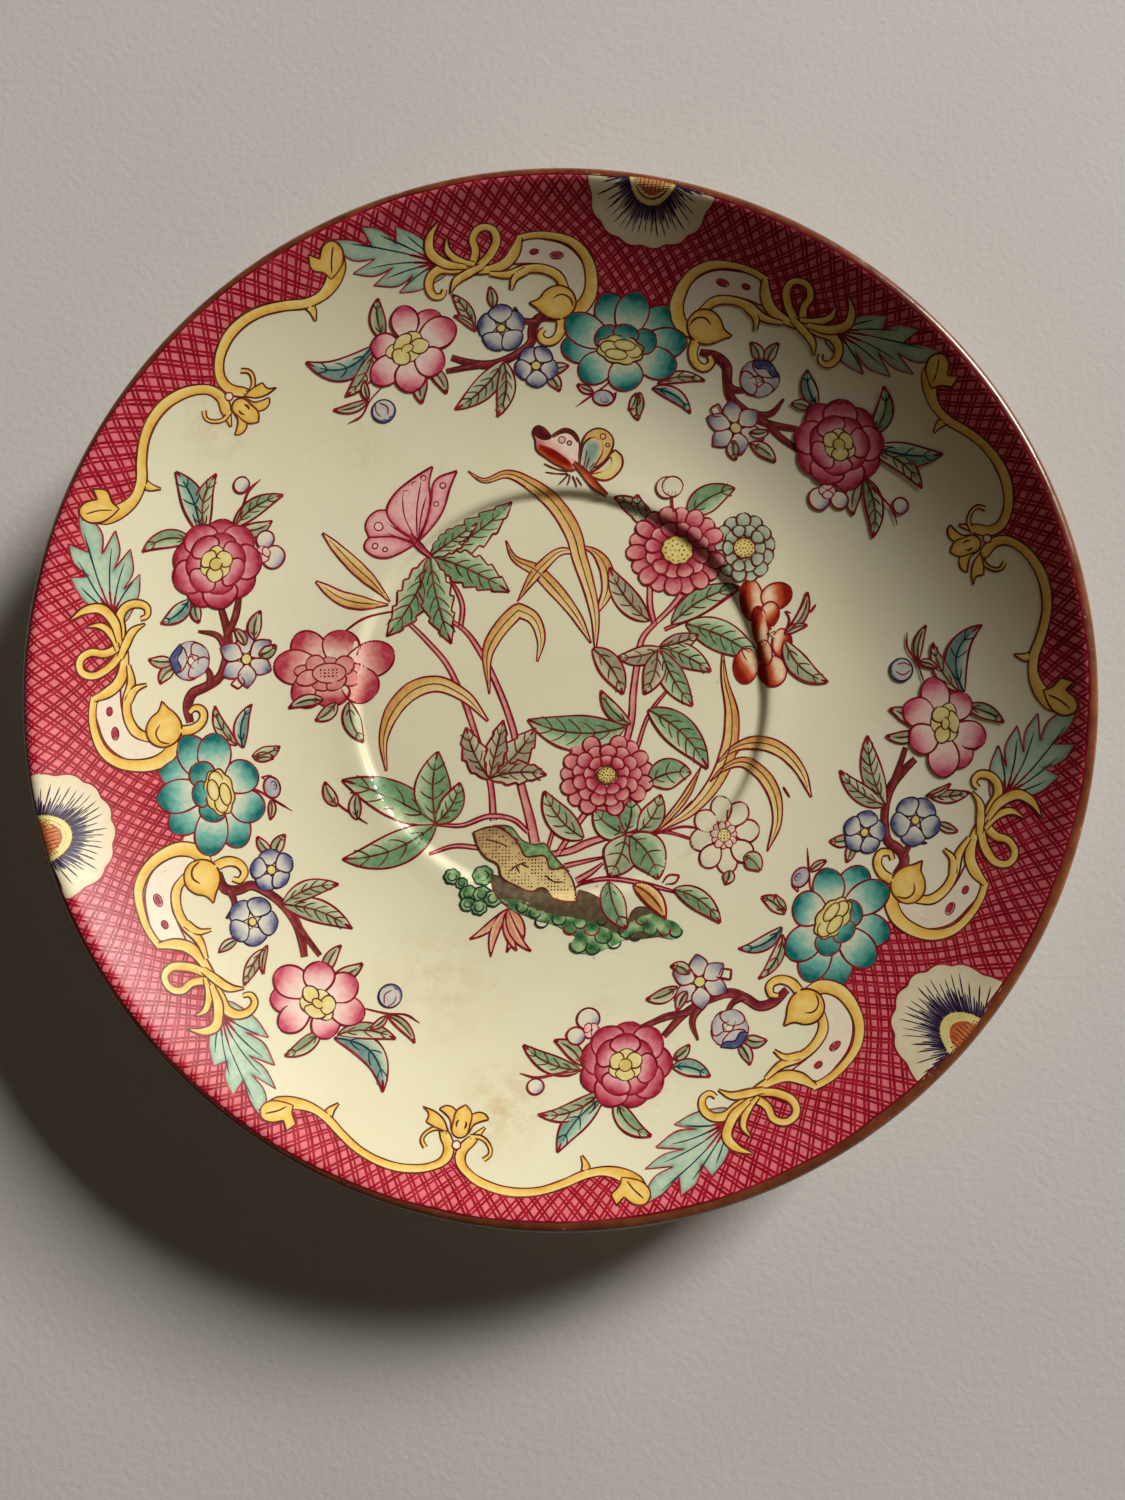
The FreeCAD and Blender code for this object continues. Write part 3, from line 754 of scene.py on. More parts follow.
def leaves(piece, pen, rows):
    """Leaves from rows of base, tip, width, paint, bend and vein count; bluish ones have teal veins."""
    for base, tip, width, paint, bend, veins in rows:
        leaf(piece, pen, base, tip, width, paint, bend, veins, vein=VEIN_INKS.get(paint, "ink_brown"))


def disc(piece, pen, centre, rx, ry, paint, wash, edge="ink_crimson", edge_width=INK, scallops=0, depth=0.0):
    """A round or oval patch, its edge scalloped if asked, in mm about a centre."""
    count = max(16, int(TAU * max(rx, ry) / STEP))
    angle = np.arange(count) * TAU / count
    wave = 1 - depth * (1 - np.abs(np.sin(angle * scallops / 2))) if scallops else np.ones(count)
    local = pen.at(centre)
    ring = local.xy(np.column_stack([rx * wave * np.cos(angle), ry * wave * np.sin(angle)]))
    patch(piece, ring, paint, wash, edge, edge_width, grid=0.45, smooth=False)


def blossom(piece, pen, centre, rx, ry, count, turn, reach, fullness, shape, paint, wash, edge, edge_width,
            uneven=0.05):
    """A ring of petals. reach is where they start, as a part of their length; fullness makes them overlap."""
    local = pen.at(centre)
    order = list(range(0, count, 2)) + list(range(1, count, 2))
    for i in order:
        angle = TAU * (i + turn) / count
        grow = 1 + rng.uniform(-uneven, uneven)
        tip = (rx * grow * math.cos(angle), ry * grow * math.sin(angle))
        root = (tip[0] * reach, tip[1] * reach)
        around = math.hypot(rx * math.sin(angle), ry * math.cos(angle))
        width = 2 * fullness * around * math.sin(math.pi / count) * (1 - 0.12 * reach)
        petal(piece, local, root, tip, width, paint, wash, shape, rng.uniform(-0.03, 0.03), edge, edge_width)


def bough(piece, pen, points, widths, paint="bark", edge="ink_brown", wash=0.5):
    """A twig or stem of changing thickness through the points."""
    spine = even(refine(pen.xy(points), STEP))
    s = np.linspace(0, 1, len(spine))
    half = np.interp(s, np.linspace(0, 1, len(widths)), widths) / 2
    tone = lambda t, c: wash + 0.35 * c * pen.flip + wander(len(spine), 0.2, 5).repeat(len(c) // len(spine))
    ribbon(piece, spine, half, paint, tone, edge, 0.27, dome=0.02, across=3)


def scrolls(piece, pen, bands):
    """Yellow scroll bands, each from its points and widths, deeper along one side than the other."""
    tone = lambda t, c: 0.34 + 0.34 * c * pen.flip + 0.12 * np.sin(t * 17)
    for points, widths in bands:
        spine = even(refine(pen.xy(points), STEP))
        s = np.linspace(0, 1, len(spine))
        half = np.interp(s, np.linspace(0, 1, len(widths)), widths) * SCROLL_FULLNESS / 2
        ribbon(piece, spine, half, "yellow", tone, "ink_brown", 0.25)


def stroke(piece, pen, points, width):
    """A loose crimson line that thins towards its end."""
    ink(piece, pen.xy(points), width, "ink_crimson", (0.6, 0.3))


# ---------------------------------------------------------------- border: trellis ground
# The ground's inner edge, from the flower to the palmette, runs under the scrolls and leaves that frame it.
GROUND_EDGE = [(0.0, 54.5), (4.5, 55.3), (6.4, 57.0), (6.5, 60.3), (8.4, 63.3), (11.2, 64.8), (14.8, 65.2),
               (16.4, 64.2), (17.3, 62.3), (19.2, 61.5), (22.4, 61.9), (25.4, 62.2), (27.6, 64.0),
               (29.5, 66.0), (33.0, 68.2), (36.3, 70.3), (38.3, 71.6), (40.1, 70.2), (41.0, 67.7),
               (42.6, 66.6), (44.6, 66.8), (47.0, 68.1), (49.6, 69.3), (52.3, 69.8), (55.1, 69.4),
               (57.6, 68.0), (59.1, 66.1), (59.6, 64.8), (60.0, 64.6)]


def trellis_strokes(pieces_of, axis_of):
    """Both families of doubled lines, cut to each piece's stretch of ground."""
    r = np.concatenate([np.arange(53.0, LIP_START, 0.45), np.arange(LIP_START, PRINT_END, 0.14)])
    for hand in (1, -1):
        for n in range(TRELLIS_COUNT):
            for side in (-1, 1):
                phase = (n + hand * TRELLIS_SLANT * r + side * TRELLIS_PAIR) / TRELLIS_COUNT * TAU
                xy = np.column_stack([r * np.cos(phase), r * np.sin(phase)])
                for piece, ring in pieces_of:
                    mid = xy[len(xy) // 2]
                    away = abs((math.degrees(math.atan2(mid[1], mid[0])) - axis_of[piece] + 180) % 360 - 180)
                    if away > 50:
                        continue
                    kept = inside(xy, ring)
                    cuts = np.flatnonzero(np.diff(kept.astype(int)))
                    for run in np.split(np.arange(len(r)), cuts + 1):
                        if kept[run[0]] and len(run) > 2:
                            lift = 0.004 if hand > 0 else 0.0
                            ink(piece, xy[run], TRELLIS_INK, "ink_trellis", (1.0, 1.0), lift, False, 0.5)


GROUND_LEVEL, SHELF_LEVEL, TRELLIS_LEVEL = 0.035, 0.05, 0.06
SHELF_RUN, SHELF_STEPS = 1.4, 26    # the ground's last stretch starts this far inside the lip
GROUND_STEP = 0.5                   # spacing of points round the ground


def make_ground(halves):
    """The rose wash and its trellis, one piece for each half of a border repeat."""
    jobs, axis_of, pieces = [], {}, []
    for name, pen in halves:
        piece = Piece(name, "trellis_ground", "border_ground", level=GROUND_LEVEL)
        inner = refine(pen.xy([(-SEAM_LAP, 54.5)] + GROUND_EDGE + [(60 + SEAM_LAP, 64.7)]), GROUND_STEP)
        count = int(math.radians(60 * pen.scale) * RIM_INNER / GROUND_STEP)
        sweep = [60 + SEAM_LAP - (60 + 2 * SEAM_LAP) * i / count for i in range(count + 1)]
        around = [pen.xy([(a, r) for a in sweep]) for r in (LIP_START, PRINT_END)]
        ring = np.vstack([inner, around[0]])
        ring = even(np.vstack([ring, ring[:1]]), GROUND_STEP)[:-1]
        patch(piece, ring, "pink_wash", 0.45, None, grid=0.8, dome=0.0, smooth=False)
        # the last stretch follows the round of the lip closely
        shelf = np.linspace(LIP_START - SHELF_RUN, PRINT_END, SHELF_STEPS)
        xy = np.array([pen.xy([(a, r)])[0] for a in sweep for r in shelf])
        piece.grid(len(sweep), len(shelf), xy, SHELF_LEVEL, "pink_wash", 0.45)
        piece.level = TRELLIS_LEVEL
        ring = np.vstack([inner, around[1]])
        jobs.append((piece, ring))
        axis_of[piece] = pen.axis + pen.flip * pen.scale * 30
        pieces.append(piece)
    trellis_strokes(jobs, axis_of)
    for piece in pieces:
        piece.build()


# ---------------------------------------------------------------- border: fan, flower, scrolls
FAN_CENTRE = 74.5                   # radius about which a fan opens
FAN_REACHES = (1.0, 1.0, 1.12)      # the three transfers were not laid equally far in
FAN_LEVEL = 0.1
FAN_GRID = 0.32
FAN_RAYS = 72
FAN_HATCHES = 9


def make_fan(name, pen, node, reach):
    """A half-round fan at the rim: white scallops, a dark ring with rays, then yellow and rust."""
    piece = Piece(name, "fan_enamel", node, level=FAN_LEVEL)

    def fan_ring(rx, ry, scallops=0, depth=0.0):
        angle = np.linspace(0, math.pi, 90)
        wave = 1 - depth * (1 - np.abs(np.sin(angle * scallops))) if scallops else 1.0
        local = pen.at((0, FAN_CENTRE))
        xy = local.xy(np.column_stack([rx * wave * np.cos(angle), -ry * reach * wave * np.sin(angle)]))
        r = np.hypot(xy[:, 0], xy[:, 1])
        xy = xy * np.minimum(1, PRINT_END / r)[:, None]
        a, b = xy[-1], xy[0]
        t = np.linspace(0, 1, max(4, int(math.dist(a, b) / 0.6)))[1:-1, None]
        back = a + (b - a) * t
        back *= (PRINT_END / np.hypot(back[:, 0], back[:, 1]))[:, None]
        return np.vstack([xy, back])

    patch(piece, fan_ring(9.2, 10.4, 8, 0.045), "fan_white", lambda p, d: 0.25 + 0.35 * np.exp(-d / 0.9),
          "ink_red", 0.3, grid=FAN_GRID, smooth=False)
    local = pen.at((0, FAN_CENTRE))
    piece.level += 0.01
    patch(piece, fan_ring(5.0, 5.8), "fan_blue", lambda p, d: 0.02 + 0.8 * np.clip(d / 2.4, 0, 1), None,
          grid=FAN_GRID, smooth=False)
    for i in range(FAN_RAYS):
        angle = math.pi * (i + 0.5 + rng.uniform(-0.3, 0.3)) / FAN_RAYS
        end = (rng.uniform(0.65, 1.0), rng.uniform(0.1, 0.45), rng.uniform(0.2, 0.6))[i % 3]
        inner = (3.4 * math.cos(angle), -3.8 * reach * math.sin(angle))
        outer = ((4.4 + 3.7 * end) * math.cos(angle), -(4.9 + 4.3 * end) * reach * math.sin(angle))
        ray = even(local.xy([inner, outer]))
        ray = ray[np.hypot(ray[:, 0], ray[:, 1]) < PRINT_END]
        if len(ray) > 3:
            ink(piece, ray, rng.uniform(0.12, 0.21), "ink_blue", (1.0, 0.15), DOME, False, 0.6)
    piece.up(2)
    patch(piece, fan_ring(3.6, 4.1), "straw", fade(0.55, 0.2), "ink_brown", 0.22, grid=FAN_GRID,
          smooth=False)
    patch(piece, fan_ring(2.8, 3.1), "fan_rust", fade(0.7, 0.4), "ink_brown", 0.25, grid=FAN_GRID,
          smooth=False)
    for i in range(FAN_HATCHES):
        u = -2.2 + 4.4 * i / (FAN_HATCHES - 1)
        low = -3.1 * math.sqrt(max(0, 1 - (u / 2.8) ** 2)) + 0.4
        ink(piece, local.xy([(u, -0.7), (u, low)]), 0.11, "ink_brown", (1, 0.5), lift=DOME)
    piece.build()


FLOWER_TIPS = ((-6.5, 6.7), (3.7, 7.4), (-8.8, 2.8), (8.3, -1.0), (-8.0, -1.5), (5.0, -4.9), (-2.0, -5.6),
               (8.2, 3.4), (-1.1, 8.4))
FLOWER_WIDTHS = (4.9, 4.7, 4.5, 4.4, 4.6, 4.5, 4.9, 4.6, 4.7)


def make_turquoise(name, pen, behind, node):
    """The turquoise flower in the middle of a repeat, with its sprigs."""
    piece = Piece(name, "turquoise_enamel", node)
    local = pen.at((0.4 * pen.flip, 49.4))
    # sprigs that leave the flower towards the middle
    stroke(piece, pen, [(0.5, 46.5), (1.9, 44.4), (4.2, 42.7), (7.8, 40.6)], 0.3)
    leaf(piece, pen, (4.4, 42.9), (7.7, 43.9), 1.1, "leaf_sage", 0.08, 0)
    disc(piece, pen, (2.4, 42.2), 1.5, 1.1, "blue", 0.55)
    disc(piece, pen, (2.1, 41.9), 0.6, 0.4, "blue", 1.0, "ink_blue", 0.16)
    stroke(piece, pen, [(0.9, 42.6), (0.0, 43.3), (0.4, 41.8), (1.2, 41.6)], 0.22)
    leaves(piece, behind, (
        ((6.9, 45.7), (14.4, 48.4), 1.7, "leaf_sage", -0.12, 3),
        ((6.2, 44.9), (14.4, 43.3), 1.9, "sky", -0.14, 2),
        ((4.4, 43.9), (5.3, 39.9), 2.0, "leaf_sage", 0.1, 2),
        ((3.7, 43.7), (3.0, 41.0), 1.3, "leaf_sage", -0.1, 1)))
    piece.level = BASE_LIFT + 0.05
    for (u, v), width in zip(FLOWER_TIPS, FLOWER_WIDTHS):
        petal(piece, local, (u * 0.16, v * 0.16), (u, v), width, "turquoise", (0.0, 1.25, 2.0), (1.3, 0.46),
              rng.uniform(-0.05, 0.05), "ink_crimson", 0.27)
    for u, v in ((-4.5, 2.5), (3.6, 2.3), (-0.5, 3.6)):
        petal(piece, local, (u * 0.3, v * 0.25), (u, v), 3.7, "turquoise", (0.35, 1.1, 1.0), (1.1, 0.5), 0.0,
              "ink_crimson", 0.25)
    bud = local.at((0.1, -0.1))
    disc(piece, bud, (0, 0), 3.4, 2.1, "straw", lambda p, d: 0.25 + 0.45 * np.exp(-d / 0.5), "ink_brown",
         0.24, 8, 0.12)
    for centre, rx, ry in (((-1.7, 0.1), 1.35, 0.95), ((1.6, 0.1), 1.35, 0.95), ((-0.5, 0.75), 1.5, 0.75),
                           ((0.5, -0.7), 1.6, 0.75)):
        disc(piece, bud, centre, rx, ry, "straw", lambda p, d: 0.2 + 0.5 * np.exp(-d / 0.35), "ink_brown",
             0.2)
    piece.build()


# One broad leaf with five pointed lobes, in border coordinates.
ACANTHUS = [(26.3, 62.2), (28.2, 61.3), (30.4, 61.0), (33.3, 61.7), (30.6, 63.3), (33.0, 62.7), (36.0, 64.1),
            (32.7, 65.5), (35.2, 65.4), (37.7, 67.2), (34.4, 67.8), (36.6, 68.6), (38.7, 72.1), (36.0, 71.0),
            (34.1, 69.4), (34.4, 71.9), (32.2, 70.6), (31.3, 68.6), (30.6, 70.7), (28.5, 68.9), (27.2, 66.4),
            (26.1, 64.2)]
ACANTHUS_TIPS = ((32.9, 61.8), (35.5, 64.1), (37.2, 67.1), (38.3, 71.8), (34.0, 71.4), (30.4, 70.2))


def make_scroll_half(piece, pen):
    """Acanthus, horn, ball and loops of one side of a scroll frame."""
    # acanthus leaves behind the scrolls
    patch(piece, pen.xy(ACANTHUS), "acanthus", lambda p, d: 0.2 + 0.6 * np.exp(-d / 0.5), "ink_red", 0.24)
    for tip in ACANTHUS_TIPS:
        vein = pen.xy(bowed((27.2, 63.8), tip, 0.04, np.linspace(0, 1, 7)))
        ink(piece, vein[:6], 0.22, "ink_teal", (1.0, 0.3), lift=DOME)
        ink(piece, vein[:3], 0.36, "ink_crimson", (1.0, 0.1), lift=DOME + 0.006)
    # horn: its white panel, then the yellow band round it
    patch(piece, pen.xy([(6.9, 57.6), (7.5, 61.0), (9.4, 63.3), (12.2, 64.5), (15.4, 64.8), (16.4, 63.0),
                         (17.4, 61.6), (14.0, 61.2), (11.4, 60.2), (10.0, 58.2), (9.0, 55.8), (8.2, 55.4)]),
          "panel", 0.3, "ink_crimson", 0.25)
    for centre, rx, ry in (((8.6, 59.6), 0.45, 0.75), ((11.2, 62.3), 0.95, 0.5), ((14.2, 63.0), 0.65, 0.4)):
        disc(piece, pen, centre, rx, ry, "crimson", 0.8, "ink_crimson", 0.2)
    scrolls(piece, pen, (
        ([(9.8, 54.3), (8.0, 54.6), (6.5, 56.4), (6.3, 59.4), (7.2, 62.1), (9.0, 64.1), (11.6, 65.2),
          (14.2, 65.5), (16.2, 65.2)], (1.5, 1.6, 1.3, 1.1, 1.0, 0.9)),
        ([(15.9, 65.4), (16.7, 63.4), (18.0, 61.9), (20.2, 61.3), (22.6, 61.6), (25.0, 62.4)],
         (0.6, 1.3, 1.3, 1.0, 1.0, 0.8)),
        ([(10.0, 57.4), (11.0, 59.3), (13.0, 60.4), (15.6, 60.6), (18.2, 60.1), (20.6, 60.7)],
         (0.9, 1.1, 1.0, 1.0, 0.9, 0.5)),
        ([(15.4, 60.4), (17.2, 59.5), (17.9, 57.9)], (0.9, 0.8, 0.3)),
        ([(10.6, 53.4), (10.8, 51.4), (12.1, 50.1), (13.6, 50.1), (14.2, 51.2), (13.4, 51.9)],
         (1.1, 1.1, 1.0, 0.9, 0.8, 0.5))))
    # the ball over the curl, with its bud tip
    ball = pen.at((10.9, 55.5))
    patch(piece, ball.xy([(-2.3, 0.3), (-1.5, 1.9), (0.3, 2.5), (2.0, 1.7), (2.8, 0.7), (4.3, 0.1),
                          (3.2, -0.7), (2.3, -1.6), (0.6, -2.4), (-1.2, -2.0)]), "yellow",
          fade(0.75, 0.4, 1.3), "ink_brown", 0.27)
    ink(piece, ball.xy([(-1.9, -0.6), (-1.4, 0.7), (-0.2, 1.2), (0.9, 0.6)]), 0.26, "ink_brown", (0.5, 0.4),
        DOME)
    # loops, offshoots and the tail
    scrolls(piece, pen, (
        ([(22.0, 61.9), (20.0, 63.4), (18.9, 65.6), (19.4, 67.4), (20.8, 67.7), (21.9, 66.2), (21.9, 64.2),
          (22.8, 62.6), (25.0, 62.3), (27.2, 62.9), (28.6, 62.2), (29.2, 60.9), (28.8, 59.4), (27.7, 59.2),
          (27.2, 60.0)], (0.9, 1.0, 0.9, 0.9, 0.95, 1.0, 1.1, 0.9, 0.5)),
        ([(21.4, 61.9), (23.6, 61.3), (25.3, 60.7), (26.6, 59.2)], (0.7, 1.0, 0.9, 0.15)),
        ([(22.4, 62.4), (24.4, 63.5), (25.4, 65.2), (25.1, 67.4)], (0.5, 0.9, 0.8, 0.15)),
        ([(23.6, 62.3), (26.3, 63.6), (27.6, 65.8), (27.1, 68.0), (25.6, 69.7)], (0.6, 1.1, 1.2, 1.0, 0.15))))


def make_c_scroll(piece, pen):
    """The long scroll that runs out to the palmette."""
    scrolls(piece, pen, (
        ([(44.6, 66.9), (44.4, 65.4), (44.9, 63.7)], (1.2, 0.9, 0.15)),
        ([(38.0, 71.6), (38.6, 69.9), (40.2, 67.6), (42.2, 66.5), (44.4, 66.7), (46.8, 68.1), (49.5, 69.3),
          (52.3, 69.75), (55.2, 69.35), (57.7, 68.0), (59.05, 66.1), (59.2, 64.1), (58.2, 62.3),
          (57.0, 60.4)], (1.0, 2.0, 1.6, 1.25, 1.25, 1.1, 1.0, 1.0, 1.05, 1.1, 1.1, 1.15, 1.2, 0.2)),
        ([(58.6, 62.0), (57.2, 61.9), (56.2, 62.7), (55.8, 63.9), (56.5, 64.9)], (0.5, 0.45, 0.4, 0.4, 0.5))))
    # the two-lobed head at one end, the split tail that only one half has at the other
    patch(piece, pen.xy([(41.3, 71.6), (40.4, 70.7), (39.4, 71.7), (38.1, 71.8), (37.5, 70.8), (37.9, 69.5),
                         (39.2, 68.4), (40.4, 67.9), (40.7, 69.0), (41.8, 70.2)]),
          "yellow", fade(0.6, 0.35, 1.2), "ink_brown", 0.27)
    if pen.flip > 0:
        patch(piece, pen.xy([(58.6, 62.0), (57.7, 60.6), (56.3, 59.8), (54.6, 59.6), (55.7, 60.5),
                             (55.6, 61.5), (57.2, 61.9)]),
              "yellow", fade(0.6, 0.3), "ink_brown", 0.25)
    ink(piece, pen.xy([(38.3, 71.2), (39.3, 69.9), (39.9, 68.6)]), 0.22, "ink_brown", (0.4, 0.4), DOME)


def make_palmette(piece, pen):
    """The small yellow palmette where two scrolls meet."""
    local = pen.at((60, 62.6))
    for hand in (-1, 1):
        side = Pen(local.centre, local.right * hand, local.upward)
        patch(piece, side.xy([(0.0, -0.3), (1.1, -0.8), (1.7, -2.3), (2.7, -3.0), (3.6, -3.4), (2.9, -4.0),
                              (2.0, -4.1), (0.9, -3.4), (0.2, -2.4)]), "yellow", fade(0.6, 0.3),
              "ink_brown", 0.26)
    patch(piece, local.xy([(-1.0, -0.6), (0.0, -0.1), (1.0, -0.6), (1.2, -2.2), (1.05, -3.7), (0.0, -4.7),
                           (-1.05, -3.7), (-1.2, -2.2)]), "yellow", fade(0.65, 0.4), "ink_brown", 0.26)
    for u in (-0.55, 0.55):
        ink(piece, local.xy([(u, -1.5), (u * 1.25, -2.1), (u * 0.9, -2.5)]), 0.3, "ink_brown", (0.6, 0.6),
            DOME)
    disc(piece, pen, (60, 63.5), 0.6, 0.6, "panel", 0.3, "ink_crimson", 0.26)


# ---------------------------------------------------------------- border: the two flower sprays
def five_petals(piece, pen, centre, size, turn):
    """A small blue flower."""
    blossom(piece, pen, centre, size, size, 5, turn, 0.22, 0.86, (1.2, 0.6), "blue", (0.05, 1.3, 1.6),
            "ink_blue", 0.24)
    disc(piece, pen, centre, 0.65, 0.6, "straw", 0.5, "ink_brown", 0.2)


def round_bud(piece, pen, centre, size):
    """A round blue bud, dark below, with two creases down its face."""
    disc(piece, pen, centre, size, size, "blue", 0.35, "ink_blue", 0.27)
    local = pen.at(centre, size)
    patch(piece, local.xy([(-0.95, -0.2), (-0.3, -0.55), (0.4, -0.5), (0.93, -0.1), (0.7, -0.7), (0, -0.98),
                           (-0.7, -0.7)]), "blue", 0.92, None)
    for crease, width in (([(-0.1, 0.8), (-0.45, 0.1), (-0.1, -0.5)], 0.2),
                          ([(0.3, 0.85), (0.6, 0.3), (0.5, -0.3)], 0.18)):
        ink(piece, local.xy(crease), width, "ink_crimson", (0.8, 0.5), DOME)


def berry(piece, pen, centre, size):
    """A small round bud, white with a grey-blue crescent along its far side."""
    middle = pen.at(centre).centre
    away = np.array((0.8, -0.6)) / size
    disc(piece, pen, centre, size, size * 0.92, "blue",
         lambda p, d: np.clip((p - middle) @ away, 0, 1) ** 1.5 * 1.2, "ink_crimson", 0.28)


def double_rose(piece, pen, centre, rx, ry, rings, heart):
    """Rings of cupped petals inside each other, with a small yellow heart."""
    local = pen.at(centre)
    for grow, count, turn in rings:
        blossom(piece, local, (0, 0), rx * grow, ry * grow, count, turn, 0.34, 1.18, (0.95, 0.5), "rose",
                (0.05, 1.2, 1.9), "ink_crimson", 0.3, 0.04)
    blossom(piece, local, (0, 0), heart[0], heart[1], 6, 0.3, 0.1, 1.1, (1.1, 0.5), "straw", (0.5, 0.3, 1.0),
            "ink_brown", 0.22)
    disc(piece, local, (0, 0), heart[0] * 0.36, heart[1] * 0.4, "straw", 0.7, "ink_brown", 0.2)


def make_bloom_spray(name, pen, node):
    """The spray ahead of the turquoise flower: a pink bloom, two blue flowers and leaves."""
    piece = Piece(name, "pink_enamel", node)
    bough(piece, pen, [(11.6, 53.3), (14.2, 53.4), (15.3, 51.9), (15.6, 50.3), (17.6, 49.0), (20.6, 48.1),
                       (24.0, 48.0), (27.2, 49.1), (29.4, 50.4)], (1.0, 1.3, 1.2, 1.0, 1.0, 1.1, 1.0, 0.7))
    bough(piece, pen, [(24.6, 48.2), (27.6, 48.4), (31.0, 48.8)], (0.9, 0.6, 0.5))
    bough(piece, pen, [(14.6, 53.0), (16.8, 53.4), (17.8, 55.4)], (0.8, 0.6, 0.15))
    leaves(piece, pen, (
        ((20.8, 48.1), (32.0, 43.2), 3.1, "leaf_sage", 0.07, 5),
        ((20.9, 48.0), (24.4, 40.4), 2.5, "leaf_sage", 0.1, 4),
        ((12.9, 45.7), (9.3, 46.4), 1.4, "leaf_sage", 0.06, 1),
        ((13.6, 45.4), (11.1, 42.8), 1.7, "leaf_sage", 0.1, 2),
        ((21.0, 55.8), (20.9, 58.9), 1.3, "leaf_sage", -0.05, 0),
        ((24.4, 53.7), (26.4, 59.0), 1.8, "leaf_sage", -0.05, 3),
        ((24.3, 53.0), (27.0, 56.0), 1.0, "leaf_sage", -0.1, 0)))
    five_petals(piece, pen, (20.3, 52.7), 3.5, 0.3)
    five_petals(piece, pen, (15.3, 46.7), 3.0, 0.8)
    # the bloom and its leaves
    leaves(piece, pen, (
        ((33.6, 50.3), (32.4, 45.8), 1.7, "leaf_sage", 0.1, 1),
        ((34.5, 50.0), (37.1, 45.9), 1.9, "leaf_sage", -0.1, 1),
        ((38.0, 56.6), (36.2, 62.2), 2.1, "leaf", 0.08, 2),
        ((40.1, 56.4), (49.2, 59.7), 3.2, "sky", 0.24, 3),
        ((40.2, 55.7), (47.7, 52.4), 2.2, "leaf_sage", 0.1, 3)))
    stroke(piece, pen, [(41.5, 50.8), (45.0, 49.8), (47.5, 48.8), (50.0, 49.1)], 0.28)
    leaves(piece, pen, (
        ((45.0, 50.1), (50.5, 51.9), 1.3, "leaf_sage", 0.1, 0),
        ((44.9, 50.1), (43.6, 52.8), 1.1, "leaf_sage", 0.1, 0)))
    round_bud(piece, pen, (43.8, 47.6), 1.6)
    local = pen.at((35.2, 53.7))
    for u, v, width in ((-5.6, 3.4, 4.2), (-1.7, 6.0, 3.9), (-7.2, 0.6, 4.4), (4.6, 2.6, 4.0),
                        (6.4, -2.3, 4.0), (2.4, -5.6, 4.3), (-3.2, -4.4, 4.4)):
        petal(piece, local, (u * 0.2, v * 0.2), (u, v), width, "pink", (0.0, 1.35, 2.4), (1.2, 0.48),
              rng.uniform(-0.04, 0.04), "ink_crimson", 0.3)
    blossom(piece, local, (0.2, 0.2), 3.0, 1.9, 6, 0.3, 0.12, 1.1, (1.0, 0.5), "straw", (0.55, 0.25, 1.0),
            "ink_brown", 0.23)
    disc(piece, local, (0.2, 0.2), 0.9, 0.6, "straw", 0.5, "ink_brown", 0.2)
    piece.build()


